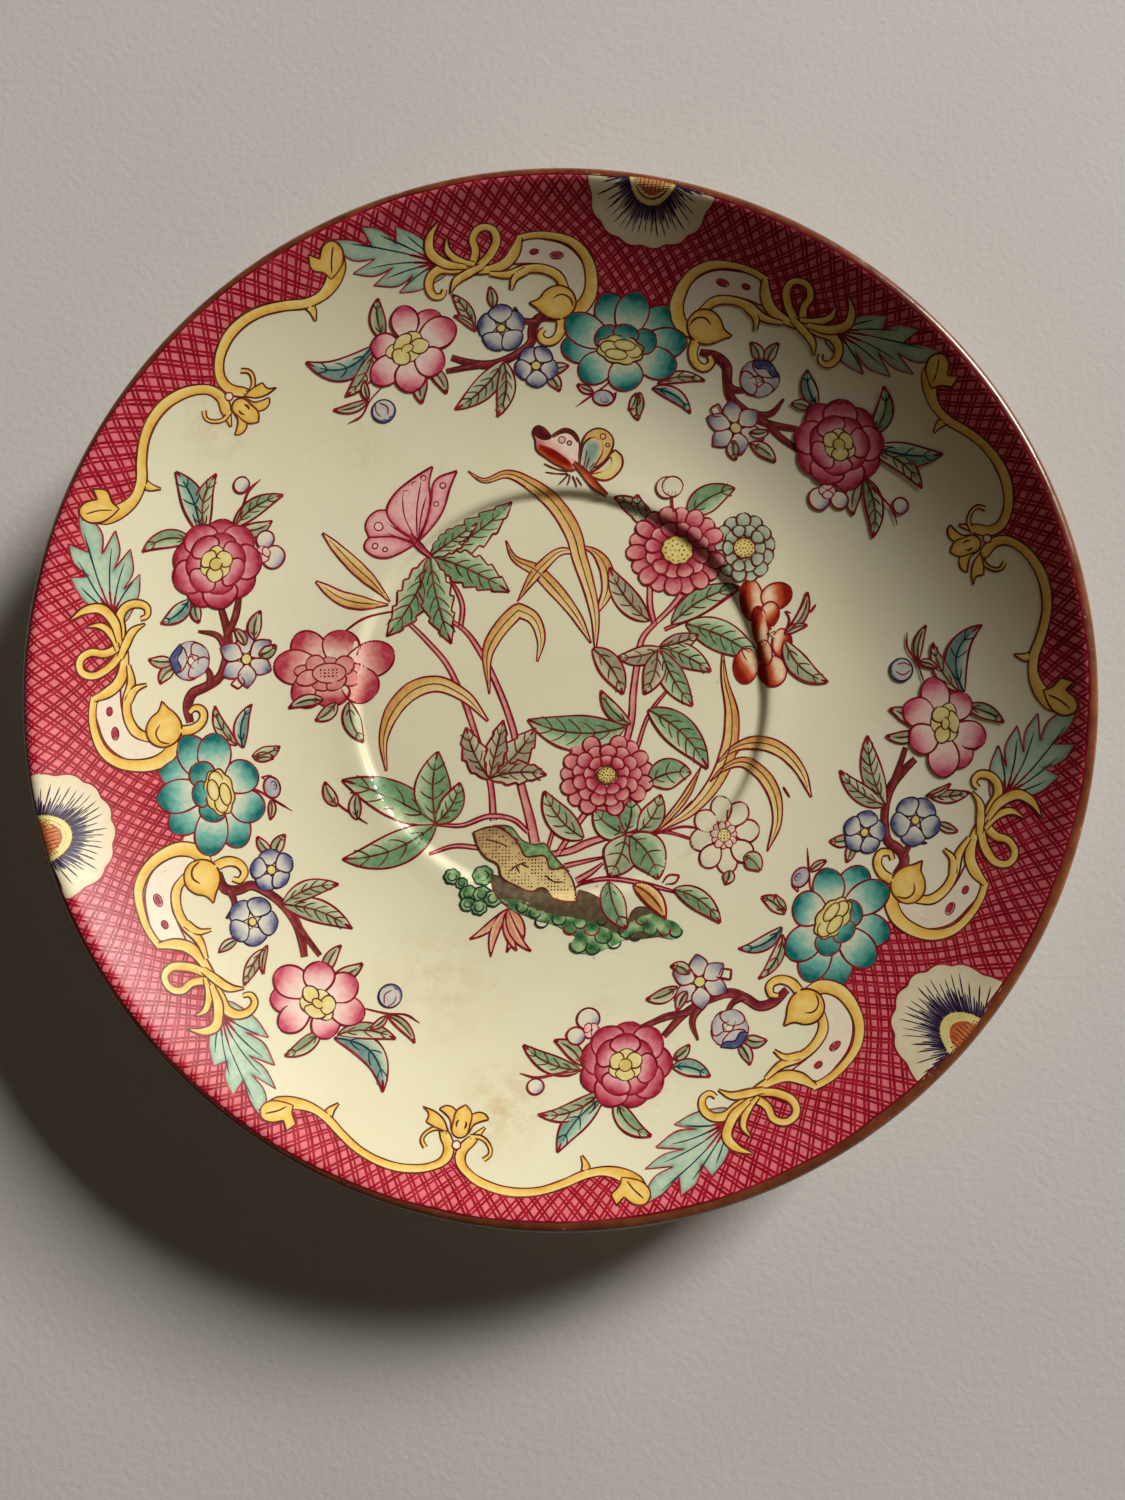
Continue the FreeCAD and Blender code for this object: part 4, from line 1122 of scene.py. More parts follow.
def make_rose_spray(name, pen, node):
    """The spray behind it: a double rose, a star flower, buds and leaves."""
    piece = Piece(name, "rose_enamel", node)
    bough(piece, pen, [(11.8, 51.9), (14.5, 52.2), (16.5, 51.6), (17.6, 49.8), (19.2, 48.0), (22.4, 47.3),
                       (27.0, 47.6), (31.5, 49.6)], (0.9, 1.3, 1.2, 1.1, 1.0, 1.0, 0.9, 0.7))
    bough(piece, pen, [(27.0, 47.6), (30.0, 47.2), (34.5, 47.6)], (0.8, 0.8, 0.6))
    bough(piece, pen, [(24.4, 47.6), (26.4, 48.8), (26.8, 51.8)], (0.8, 0.7, 0.15))
    bough(piece, pen, [(17.8, 49.2), (19.6, 49.2), (21.4, 50.2)], (1.0, 0.7, 0.4))
    # blue bud with its cap, star blossom, curl
    for tip, base, bend in (((18.0, 56.1), (20.6, 54.2), 0.14), ((21.6, 58.0), (21.7, 54.6), -0.1)):
        leaf(piece, pen, base, tip, 1.7, "leaf_sage", bend, 1)
    bud = pen.at((21.9, 52.4))
    blossom(piece, bud, (0, -0.2), 2.7, 2.5, 5, 0.25, 0.2, 1.2, (1.0, 0.5), "blue", (0.2, 0.6, 1.0),
            "ink_crimson", 0.24)
    patch(piece, bud.xy([(-2.1, 1.5), (0, 2.6), (2.2, 1.5), (1.4, 1.1), (0.1, 1.6), (-1.2, 0.9)]), "blue",
          1.0, "ink_blue", 0.22)
    ink(piece, bud.xy([(-1.2, -0.8), (-0.3, 0.1), (0.9, -0.2), (0.6, -1.3), (-0.4, -1.2)]), 0.2, lift=DOME)
    blossom(piece, pen, (23.0, 44.5), 4.2, 3.9, 6, 0.2, 0.16, 0.66, (0.95, 0.95), "blue", (0.0, 1.1, 1.5),
            "ink_crimson", 0.25)
    disc(piece, pen, (23.0, 44.5), 0.8, 0.75, "straw", 0.4, "ink_brown", 0.2)
    ink(piece, pen.xy([(20.2, 45.0), (18.2, 46.3), (17.3, 45.2), (18.6, 44.3), (19.6, 44.9)]), 0.28)
    leaves(piece, pen, (
        ((25.5, 45.0), (28.2, 47.0), 1.3, "leaf_sage", 0.1, 0),
        ((26.8, 43.8), (32.6, 44.0), 1.9, "leaf_sage", -0.1, 1),
        ((24.0, 42.9), (26.6, 40.8), 1.7, "leaf", 0.12, 2)))
    # leaves round the rose
    leaves(piece, pen, (
        ((31.5, 54.0), (27.0, 57.1), 2.3, "acanthus", -0.1, 2),
        ((31.0, 53.0), (28.2, 51.8), 1.5, "leaf", 0.1, 1),
        ((39.9, 56.4), (36.2, 62.4), 2.5, "leaf", 0.16, 2),
        ((41.6, 55.9), (47.8, 63.1), 3.3, "acanthus", 0.08, 3),
        ((41.6, 54.9), (50.4, 58.0), 2.6, "leaf_sage", -0.14, 4),
        ((44.3, 51.4), (48.6, 47.8), 2.0, "leaf_sage", 0.12, 1),
        ((44.5, 52.0), (53.4, 48.6), 2.5, "leaf", -0.1, 4)))
    stroke(piece, pen, [(44.2, 52.0), (48.0, 52.4), (51.2, 52.9), (53.4, 52.5)], 0.36)
    berry(piece, pen, (51.0, 54.2), 1.15)
    berry(piece, pen, (45.1, 47.3), 1.3)
    local = pen.at((42.9, 45.3))
    berry(piece, local, (0, -0.2), 1.6)
    blossom(piece, local, (-0.3, 1.4), 1.3, 0.9, 4, 0.5, 0.1, 1.0, (1.0, 0.5), "pink", (0.1, 0.3, 1),
            "ink_crimson", 0.2)
    double_rose(piece, pen, (38.0, 52.1), 6.5, 6.1, ((1.0, 9, 0.35), (0.68, 7, 0.1)), (2.5, 2.1))
    piece.build()


# ---------------------------------------------------------------- assemble the border
def sector_axes():
    """The three repeats' directions in degrees, read from where the CAD has the turquoise flowers."""
    found = []
    for k in (1, 2, 3):
        low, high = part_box("turquoise_flower_%d" % k)
        mid = plan_of(np.array((low + high)[:2]) / 2 / MM)
        found.append(math.degrees(math.atan2(mid[1], mid[0])) % 360)
    return found


def make_border():
    """Three repeats: mirrored scrolls about a turquoise flower, with a different spray on either side."""
    axes = sector_axes()
    gaps = [(axes[(k + 1) % 3] - axes[k]) % 360 for k in range(3)]
    halves = []
    for k in range(3):
        ahead = RimPen(axes[k], gaps[k] / 2, 1)
        behind = RimPen(axes[k], gaps[k - 1] / 2, -1)
        halves.append((ahead, behind))
    make_ground([("trellis_%d_%s" % (k + 1, tag), pen)
                 for k in range(3) for tag, pen in zip(("ahead", "behind"), halves[k])])
    for k, (ahead, behind) in enumerate(halves):
        number = k + 1
        make_fan("painted_fan_%d" % number, ahead, "fan_rosette_%d" % number, FAN_REACHES[k])
        frame_piece = Piece("painted_scroll_%d" % number, "yellow_enamel", "scroll_frame_%d" % number,
                            level=BASE_LIFT + 0.01)
        for pen in (ahead, halves[(k + 1) % 3][1]):
            start = frame_piece.level
            make_scroll_half(frame_piece, pen)
            frame_piece.level = start
            make_c_scroll(frame_piece, pen)
            frame_piece.level = start
        make_palmette(frame_piece, ahead)
        frame_piece.build()
        make_bloom_spray("painted_bloom_%d" % number, ahead, "bloom_spray_%d" % number)
        make_rose_spray("painted_rose_%d" % number, behind, "rose_spray_%d" % number)
        make_turquoise("painted_turquoise_%d" % number, ahead, behind, "turquoise_flower_%d" % number)


# ---------------------------------------------------------------- the painting in the well
FIELD = Pen()


BLADE_SHAPE = (0.05, 0.45, 0.9, 1.0, 0.85, 0.6, 0.08)       # its width along its length


def blade(piece, points, width):
    """A long grass blade through the points, with a midrib."""
    spine = even(refine(FIELD.xy(points), STEP))
    s = np.linspace(0, 1, len(spine))
    half = np.interp(s, np.linspace(0, 1, len(BLADE_SHAPE)), BLADE_SHAPE) * width / 2
    tone = lambda t, c: 0.38 + 0.3 * c + 0.25 * np.sin(t * 5)
    ribbon(piece, spine, half, "grass", tone, "ink_crimson", 0.25)
    ink(piece, spine[4:-4], 0.17, "ink_brown", (0.5, 0.3), lift=DOME, smooth=False)


def dots(piece, centres, size, paint, wash=0.8, lift=DOME + 0.004):
    """Small stippled spots."""
    angle = np.arange(6) * TAU / 6
    for x, y in centres:
        reach = size * rng.uniform(0.7, 1.2)
        xy = np.column_stack([x + reach * np.cos(angle), y + reach * np.sin(angle)])
        piece.add(xy, piece.level + lift, [tuple(range(6))], paint, wash)


def pompom(piece, centre, rx, ry, rings, heart, paint, edge, wash):
    """A chrysanthemum: rings of short round petals about a yellow eye."""
    for grow, count, turn in rings:
        blossom(piece, FIELD, centre, rx * grow, ry * grow, count, turn, 0.5, 1.1, (1.5, 0.36), paint, wash,
                edge, 0.31, 0.03)
    disc(piece, FIELD, centre, heart, heart * 0.9, "straw", fade(0.75, 0.35), "ink_brown", 0.2, 9, 0.12)
    around = [(centre[0] + heart * reach * math.cos(turn), centre[1] + heart * 0.9 * reach * math.sin(turn))
              for reach, count in ((0.72, 13), (0.42, 8), (0.12, 2))
              for turn in np.arange(count) * TAU / count]
    dots(piece, around, 0.13, "ink_brown", 0.3)


def make_stems():
    piece = Piece("painted_stems", "rose_enamel")
    for points, widths in (
            ([(-23.0, 11.5), (-19.25, 7.75), (-16.25, 4.0), (-14.25, 0.0), (-11.9, -6.75), (-10.25, -12.0),
              (-9.6, -17.6)], (0.5, 0.7, 0.8, 0.9, 0.9)),
            ([(-16.0, 16.5), (-14.25, 12.25), (-14.5, 9.5)], (0.3, 0.6, 0.7)),
            ([(-16.75, 11.0), (-13.75, 8.75), (-11.5, 5.5), (-9.25, 1.0), (-7.0, -5.0), (-5.75, -13.0),
              (-4.7, -17.0), (-3.75, -20.8)], (0.5, 0.7, 0.8, 0.9, 1.1, 1.3, 1.5)),
            ([(12.9, 9.9), (11.0, 7.75), (10.25, 4.0), (9.75, 0.0), (9.6, -3.0), (8.75, -7.25)],
             (0.7, 0.9, 1.0, 1.0)),
            ([(15.0, 1.0), (12.0, -3.0), (10.25, -8.0)], (0.3, 0.5, 0.6)),
            ([(12.6, 9.6), (12.0, 12.0), (11.9, 15.25)], (0.7, 0.8, 0.8)),
            ([(12.8, 9.8), (15.0, 12.0), (16.5, 14.0)], (0.7, 0.8, 0.9)),
            ([(24.5, 14.6), (20.0, 11.5), (14.0, 8.8)], (0.25, 0.4, 0.5)),
            ([(-17.6, -18.0), (-14.25, -18.2), (-10.0, -17.0), (-6.75, -17.6), (-4.75, -19.3)],
             (0.4, 0.6, 0.7, 0.6)),
            ([(-18.5, -22.0), (-15.0, -21.0), (-11.5, -21.3)], (0.3, 0.5, 0.6)),
            ([(-1.7, -22.4), (1.5, -21.8), (3.5, -20.9), (7.2, -19.8)], (0.9, 1.1, 0.8)),
            ([(0.4, -24.0), (3.2, -23.4), (6.0, -22.8)], (0.7, 0.6, 0.3)),
            ([(2.1, -26.0), (4.0, -25.0), (5.8, -23.6)], (0.9, 0.7, 0.3)),
            ([(-0.7, -22.4), (2.0, -18.5), (4.2, -15.4)], (0.8, 0.9, 0.8)),
            ([(-2.0, -21.6), (-1.2, -18.8), (-0.6, -15.5)], (0.5, 0.5, 0.3)),
            ([(8.7, -19.8), (9.2, -17.4), (8.2, -15.0)], (0.4, 0.4, 0.3)),
            ([(6.7, -19.9), (10.8, -19.6), (14.0, -19.3), (18.6, -20.4)], (0.4, 0.6, 0.4, 0.3)),
            ([(2.3, -26.5), (6.0, -25.75), (11.25, -26.4), (16.0, -27.6)], (0.5, 0.55, 0.5, 0.3)),
            ([(24.6, -8.0), (21.0, -12.2), (16.5, -17.3), (13.0, -19.6)], (0.3, 0.4, 0.45, 0.4))):
        bough(piece, FIELD, points, [0.85 * w for w in widths], "stem", "ink_crimson", 0.35)
        piece.level -= LAYER * 0.8
    for points in ([(-31.2, 8.8), (-28.0, 11.0), (-25.0, 11.75), (-20.25, 12.0)],
                   [(14.2, -26.3), (15.0, -25.3), (16.6, -25.3), (16.0, -26.3), (14.6, -26.5)],
                   [(14.0, -19.4), (17.2, -18.6), (19.2, -18.8)],
                   [(13.4, -19.2), (15.8, -17.6), (18.2, -15.0)],
                   [(31.0, 8.6), (31.6, 10.6), (31.0, 11.6), (31.9, 11.3)], [(34.6, 11.4), (35.4, 12.6)],
                   [(31.0, -13.0), (32.0, -14.5)], [(2.1, -26.9), (3.4, -26.2), (5.0, -26.1)]):
        stroke(piece, FIELD, points, 0.33)
    piece.build()


def make_grasses():
    piece = Piece("painted_grasses", "yellow_enamel", level=BASE_LIFT + 0.02)
    for points, width in (
            ([(-10.4, 0.0), (-10.5, 6.5), (-8.5, 9.75), (-6.5, 11.75), (-4.5, 10.75), (-3.25, 7.75),
              (-3.75, 4.5)], 2.1),
            ([(-8.25, 21.6), (-7.25, 19.25), (-4.0, 17.25), (-2.0, 15.25), (0.0, 13.0), (1.5, 11.0),
              (3.75, 7.0)], 1.9),
            ([(-6.6, 12.9), (-4.5, 16.25), (-3.0, 18.0), (0.0, 20.0), (1.75, 19.5)], 1.5),
            ([(2.25, 20.75), (4.25, 19.75), (5.75, 17.5), (6.0, 14.75), (4.5, 11.0)], 1.9),
            ([(-13.5, 31.6), (-11.5, 30.25), (-8.0, 31.1), (-4.75, 29.6), (-1.5, 26.8), (0.2, 24.4),
              (1.4, 21.8), (2.0, 19.2), (3.0, 16.0), (4.25, 11.0), (4.4, 6.0)], 2.3),
            ([(-24.6, -10.4), (-25.0, -5.5), (-23.0, -1.0), (-21.0, 0.75), (-18.0, 1.5), (-14.25, 0.0),
              (-10.5, -3.75)], 2.4),
            ([(22.2, 6.0), (22.5, 2.0), (23.6, -3.0), (23.25, -8.0), (21.5, -12.25), (18.5, -16.0),
              (13.5, -19.3)], 2.2),
            ([(19.4, -10.3), (17.5, -14.0), (13.2, -19.4)], 1.0),
            ([(21.6, -9.8), (24.0, -7.7), (27.5, -6.9), (30.75, -8.0), (33.25, -10.5), (35.0, -14.4)], 1.9),
            ([(20.6, -12.4), (22.5, -10.6), (25.25, -9.6), (27.75, -11.0), (29.75, -14.0), (30.25, -17.5),
              (28.9, -21.9)], 1.8),
            ([(-24.3, 13.3), (-26.6, 15.9), (-29.6, 18.9), (-33.7, 23.3)], 1.9),
            ([(-24.5, 12.9), (-27.4, 13.1), (-30.8, 13.9), (-34.6, 16.5)], 2.0)):
        blade(piece, points, width)
    piece.build()


def make_left_leaves():
    piece = Piece("painted_leaves_left", "turquoise_enamel", level=BASE_LIFT + 0.06)
    hub = (-18.75, 19.6)
    for tip, width, bend in (((-24.75, 8.4), 4.6, 0.06), ((-7.4, 27.1), 4.3, -0.06),
                             ((-7.75, 14.25), 4.6, 0.04), ((-15.75, 7.1), 4.4, -0.04),
                             ((-12.2, 24.2), 3.0, 0.0)):
        leaf(piece, FIELD, hub, tip, width * 1.12, "leaf_deep", bend, 5, teeth=6)
    hub = (-17.6, -17.8)
    for tip, width, bend in (((-30.5, -22.4), 4.6, 0.1), ((-30.75, -11.5), 4.9, -0.04),
                             ((-17.5, -7.9), 5.0, 0.06), ((-14.4, -12.25), 3.2, -0.1)):
        leaf(piece, FIELD, hub, tip, width, "leaf_deep", bend, 4)
    stroke(piece, FIELD, [(-32.9, -12.1), (-31.4, -14.5), (-28.6, -16.6), (-27.0, -17.6)], 0.3)
    leaves(piece, FIELD, (
        ((-31.2, -15.0), (-33.0, -11.6), 1.6, "leaf_sage", 0.1, 1),
        ((-28.4, -17.0), (-28.6, -13.2), 1.6, "leaf_sage", 0.1, 1)))
    hub = (-10.25, -11.8)
    for tip, width, bend in (((-13.6, -4.6), 3.6, 0.06), ((-3.9, -4.75), 4.4, -0.05),
                             ((-2.25, -11.4), 3.4, 0.08), ((-8.4, -3.6), 3.0, 0.0)):
        leaf(piece, FIELD, hub, tip, width * 1.05, "leaf_dusk", bend, 4, teeth=4)
    leaves(piece, FIELD, (
        ((-31.6, -0.6), (-34.5, -3.0), 1.9, "leaf_sage", 0.1, 1),
        ((-29.8, -0.6), (-27.75, -6.3), 2.4, "leaf_sage", -0.1, 2),
        ((-33.4, -0.3), (-38.2, -1.2), 1.6, "leaf_sage", -0.1, 1)))
    piece.build()


def make_right_leaves():
    piece = Piece("painted_leaves_right", "turquoise_enamel", level=BASE_LIFT + 0.06)
    leaves(piece, FIELD, (
        ((11.4, 24.2), (6.9, 27.6), 2.4, "leaf_dusk", -0.1, 2),
        ((12.4, 24.0), (10.2, 28.0), 2.6, "leaf_sage", 0.2, 2),
        ((17.3, 24.8), (23.9, 28.9), 3.8, "leaf_deep", 0.1, 2),
        ((11.9, 10.0), (6.25, 17.6), 3.3, "leaf_dusk", 0.08, 4),
        ((15.0, 9.6), (24.6, 15.0), 3.4, "leaf", 0.08, 4),
        ((17.0, 9.6), (27.4, 4.6), 4.4, "leaf_deep", 0.06, 5),
        ((13.6, 6.2), (7.4, 5.0), 2.6, "leaf_dusk", 0.08, 3),
        ((13.4, 6.4), (18.75, 8.2), 2.6, "leaf_dusk", -0.06, 3),
        ((13.4, 6.2), (20.6, 2.9), 3.2, "leaf", 0.06, 4),
        ((13.6, 5.8), (18.1, -1.9), 3.4, "leaf", -0.06, 4),
        ((13.0, 5.8), (11.2, -0.2), 3.0, "leaf_dusk", 0.08, 3),
        ((4.0, 6.25), (8.3, -0.2), 3.2, "leaf_dusk", 0.08, 3),
        ((8.6, -4.8), (-5.0, -3.6), 5.0, "leaf_deep", 0.1, 5),
        ((9.4, -4.4), (5.2, 0.4), 2.0, "leaf_deep", 0.1, 2),
        ((11.8, -2.4), (20.3, -10.6), 4.3, "leaf_deep", 0.08, 5),
        ((12.0, -12.6), (18.0, -11.2), 4.2, "leaf", 0.1, 3),
        ((3.0, -20.2), (-2.6, -13.6), 3.6, "leaf_sage", 0.1, 4),
        ((8.8, -19.6), (4.4, -16.2), 3.6, "leaf_deep", 0.1, 2),
        ((8.9, -19.4), (9.4, -14.8), 3.2, "leaf_deep", -0.1, 2),
        ((10.6, -19.4), (13.7, -14.2), 3.3, "leaf_sage", -0.1, 3),
        ((8.9, -19.8), (6.7, -25.4), 4.9, "leaf_sage", 0.06, 3),
        ((9.6, -19.9), (13.6, -25.8), 5.0, "leaf_deep", 0.1, 3),
        ((6.7, -26.2), (9.3, -32.6), 3.4, "leaf_deep", -0.08, 2),
        ((10.1, -26.6), (14.7, -31.4), 2.4, "grass", 0.12, 0),
        ((15.8, -27.2), (22.5, -31.8), 2.8, "leaf_deep", 0.1, 3),
        ((23.6, -24.6), (23.0, -26.4), 1.6, "leaf_sage", 0.1, 0),
        ((25.6, -22.6), (28.0, -24.6), 2.6, "leaf", 0.1, 1),
        ((31.0, 7.4), (37.2, 1.7), 3.0, "leaf_sage", -0.14, 3),
        ((31.2, 8.6), (34.1, 14.3), 1.3, "leaf_dusk", -0.14, 0),
        ((31.0, 8.3), (34.2, 9.6), 1.1, "leaf_dusk", 0.1, 0)))
    piece.build()


def make_crimson_pompoms():
    for name, centre, rx, ry, rings, heart in (
            ("painted_pompom_upper", (15.75, 20.0), 6.9, 6.2, ((1.0, 18, 0.2), (0.65, 12, 0.6)), 2.3),
            ("painted_pompom_lower", (6.1, -11.5), 6.5, 5.7,
             ((1.0, 17, 0.4), (0.74, 13, 0.1), (0.48, 9, 0.3)), 1.35)):
        piece = Piece(name, "rose_enamel", "centre_flowers", level=BASE_LIFT + 0.16)
        pompom(piece, centre, rx, ry, rings, heart, "crimson", "ink_crimson", (0.95, 0.0, 0.8))
        piece.build()


def make_blue_pompom():
    piece = Piece("painted_blue_pompom", "fan_enamel", "centre_flowers", level=BASE_LIFT + 0.14)
    pompom(piece, (25.2, 20.4), 4.2, 4.8, ((1.0, 13, 0.3), (0.7, 10, 0.0)), 1.6, "slate", "ink_brown",
           (0.9, 0.2, 1.0))
    disc(piece, FIELD, (14.3, 29.0), 1.45, 1.5, "pearl", 0.5, edge_width=0.22)
    disc(piece, FIELD, (15.1, 29.1), 1.45, 1.4, "pearl", 0.15, edge_width=0.22)
    for x in (14.5, 15.0, 15.5):
        ink(piece, [(x, 28.4), (x, 27.9)], 0.2, lift=DOME)
    ink(piece, [(15.0, 27.6), (15.1, 26.4), (15.3, 25.4)], 0.34)
    piece.build()


def make_shell_flower():
    piece = Piece("painted_shell_flower", "pink_enamel", "centre_flowers", level=BASE_LIFT + 0.12)
    local = Pen((-32.2, 3.7), (1.16, 0.0), (0.0, 0.92))
    for u, v, width in ((-4.6, 5.4, 4.6), (1.4, 6.2, 5.2), (-6.9, 1.4, 4.8), (7.3, 2.6, 5.0),
                        (-4.6, -4.2, 4.6), (5.2, -3.6, 5.0), (0.2, -5.2, 4.8)):
        petal(piece, local, (u * 0.14, v * 0.14), (u, v), width, "shell", (0.0, 1.4, 1.7), (1.3, 0.45),
              rng.uniform(-0.04, 0.04), "ink_crimson", 0.28)
    blossom(piece, local, (-0.4, -0.2), 4.3, 2.5, 9, 0.2, 0.2, 1.1, (1.2, 0.5), "shell", (0.3, 0.7, 1.0),
            "ink_crimson", 0.24)
    disc(piece, local, (-0.4, -0.2), 2.0, 1.5, "shell", 0.5, "ink_crimson", 0.22)
    dots(piece, [(-32.7 + 0.55 * i, 3.5 + 0.45 * j) for i in range(-2, 3) for j in (-1, 0, 1)], 0.14,
         "ink_crimson")
    piece.build()


def make_rust_flower():
    """A nodding bloom seen from the side: each petal is deep red along one side and pale along the other."""
    piece = Piece("painted_rust_flower", "rose_enamel", "centre_flowers", level=BASE_LIFT + 0.12)
    for centre, rx, ry, turn, deep in (
            ((26.3, 13.0), 1.65, 3.0, 6, (-1.0, 0.0)), ((29.8, 13.7), 2.25, 1.85, 24, (1.0, 0.1)),
            ((25.5, 3.8), 1.75, 2.5, -4, (-0.8, -0.5)), ((29.3, 3.1), 2.0, 2.15, 0, (-1.0, -0.3)),
            ((30.6, 7.1), 1.4, 2.0, 0, (1.0, -0.3)), ((28.7, 10.9), 1.4, 2.0, -18, (0.6, -0.6)),
            ((27.5, 9.3), 1.15, 2.9, 8, (-1.0, 0.2)), ((28.2, 5.7), 1.05, 1.8, 8, (-0.6, -0.2))):
        local = FIELD.at(centre, 1.0, turn)
        side = np.array(deep) / rx
        tone = lambda p, d: (0.04 + np.clip((p - centre) @ side + 0.42, 0, 1) ** 1.2
                             + 0.35 * np.exp(-d / 0.25))
        disc(piece, local, (0, 0), rx, ry, "rust", tone, "ink_crimson", 0.24)
    for x, y in ((28.9, 8.6), (29.4, 8.0), (29.2, 9.2), (28.8, 7.6), (29.7, 8.8)):
        ink(piece, [(28.4, 8.3), (x, y)], 0.14, "ink_brown", (0.8, 0.6), DOME)
        dots(piece, [(x, y)], 0.16, "yellow", 0.3, DOME + 0.02)
    piece.build()


def make_pearl_flower():
    piece = Piece("painted_pearl_flower", "pink_enamel", "centre_flowers", level=BASE_LIFT + 0.14)
    x, y = centre = (22.75, -19.75)
    blossom(piece, FIELD, centre, 4.8, 5.2, 8, 0.2, 0.3, 0.82, (1.2, 0.46), "pearl", (0.0, 0.7, 2.6),
            "ink_crimson", 0.28)
    blossom(piece, FIELD, centre, 1.9, 2.0, 11, 0.2, 0.3, 1.05, (1.0, 0.5), "shell", (0.1, 0.3, 1.0),
            "ink_crimson", 0.17)
    disc(piece, FIELD, centre, 0.9, 0.9, "straw", 0.4, "ink_brown", 0.14)
    dots(piece, [(x + 0.45 * i, y + 0.45 * j) for i in (-1, 0, 1) for j in (-1, 0, 1)], 0.11, "ink_brown")
    piece.build()


def make_pink_butterfly():
    piece = Piece("painted_butterfly_left", "pink_enamel", level=BASE_LIFT + 0.14)
    hub = np.array((-20.6, 21.6))
    tone = lambda p, d: 0.25 + 0.6 * np.exp(-d / 0.5) + 0.2 * np.exp(-np.hypot(*(p - hub).T) / 2.5)
    for outline in ([(-20.75, 21.3), (-24.5, 22.6), (-27.3, 22.4), (-27.9, 21.2), (-26.75, 19.9),
                     (-24.75, 19.5), (-23.0, 20.1)],
                    [(-20.75, 21.5), (-23.6, 22.4), (-27.2, 22.5), (-27.7, 24.25), (-26.2, 26.2),
                     (-24.5, 26.2)],
                    [(-20.3, 21.8), (-19.2, 24.7), (-18.6, 27.7), (-18.2, 30.2), (-15.0, 31.7),
                     (-16.0, 29.25), (-17.0, 26.0), (-18.7, 23.5)],
                    [(-20.7, 21.5), (-24.75, 26.5), (-23.5, 28.75), (-22.0, 30.1), (-18.4, 32.4),
                     (-18.9, 30.0), (-18.7, 27.75), (-19.25, 24.75)]):
        patch(piece, outline, "pink", tone, "ink_crimson", 0.3)
    for path in ([(-20.9, 22.2), (-22.4, 25.6), (-22.6, 28.4)], [(-20.6, 22.4), (-20.6, 26.4), (-20.0, 30.2)],
                 [(-20.4, 22.4), (-19.9, 26.0), (-19.3, 28.0)], [(-21.6, 22.2), (-24.4, 24.2)],
                 [(-21.8, 21.8), (-24.6, 22.9)]):
        ink(piece, path, 0.2, "ink_crimson", (0.4, 0.4), DOME)
    for x, y, size in ((-25.9, 24.0, 0.6), (-23.1, 27.2, 0.5), (-22.1, 28.6, 0.45), (-20.9, 29.8, 0.45),
                       (-19.7, 30.7, 0.4), (-26.4, 21.2, 0.4), (-25.0, 20.7, 0.35), (-17.0, 29.6, 0.4),
                       (-17.9, 27.0, 0.35)):
        disc(piece, FIELD, (x, y), size, size, "pink", 0.15, "ink_crimson", 0.2)
        piece.level -= LAYER
    bough(piece, FIELD, [(-21.6, 22.8), (-20.4, 21.2), (-18.6, 19.4)], (0.4, 0.9, 0.3), "crimson",
          "ink_crimson", 0.6)
    piece.build()


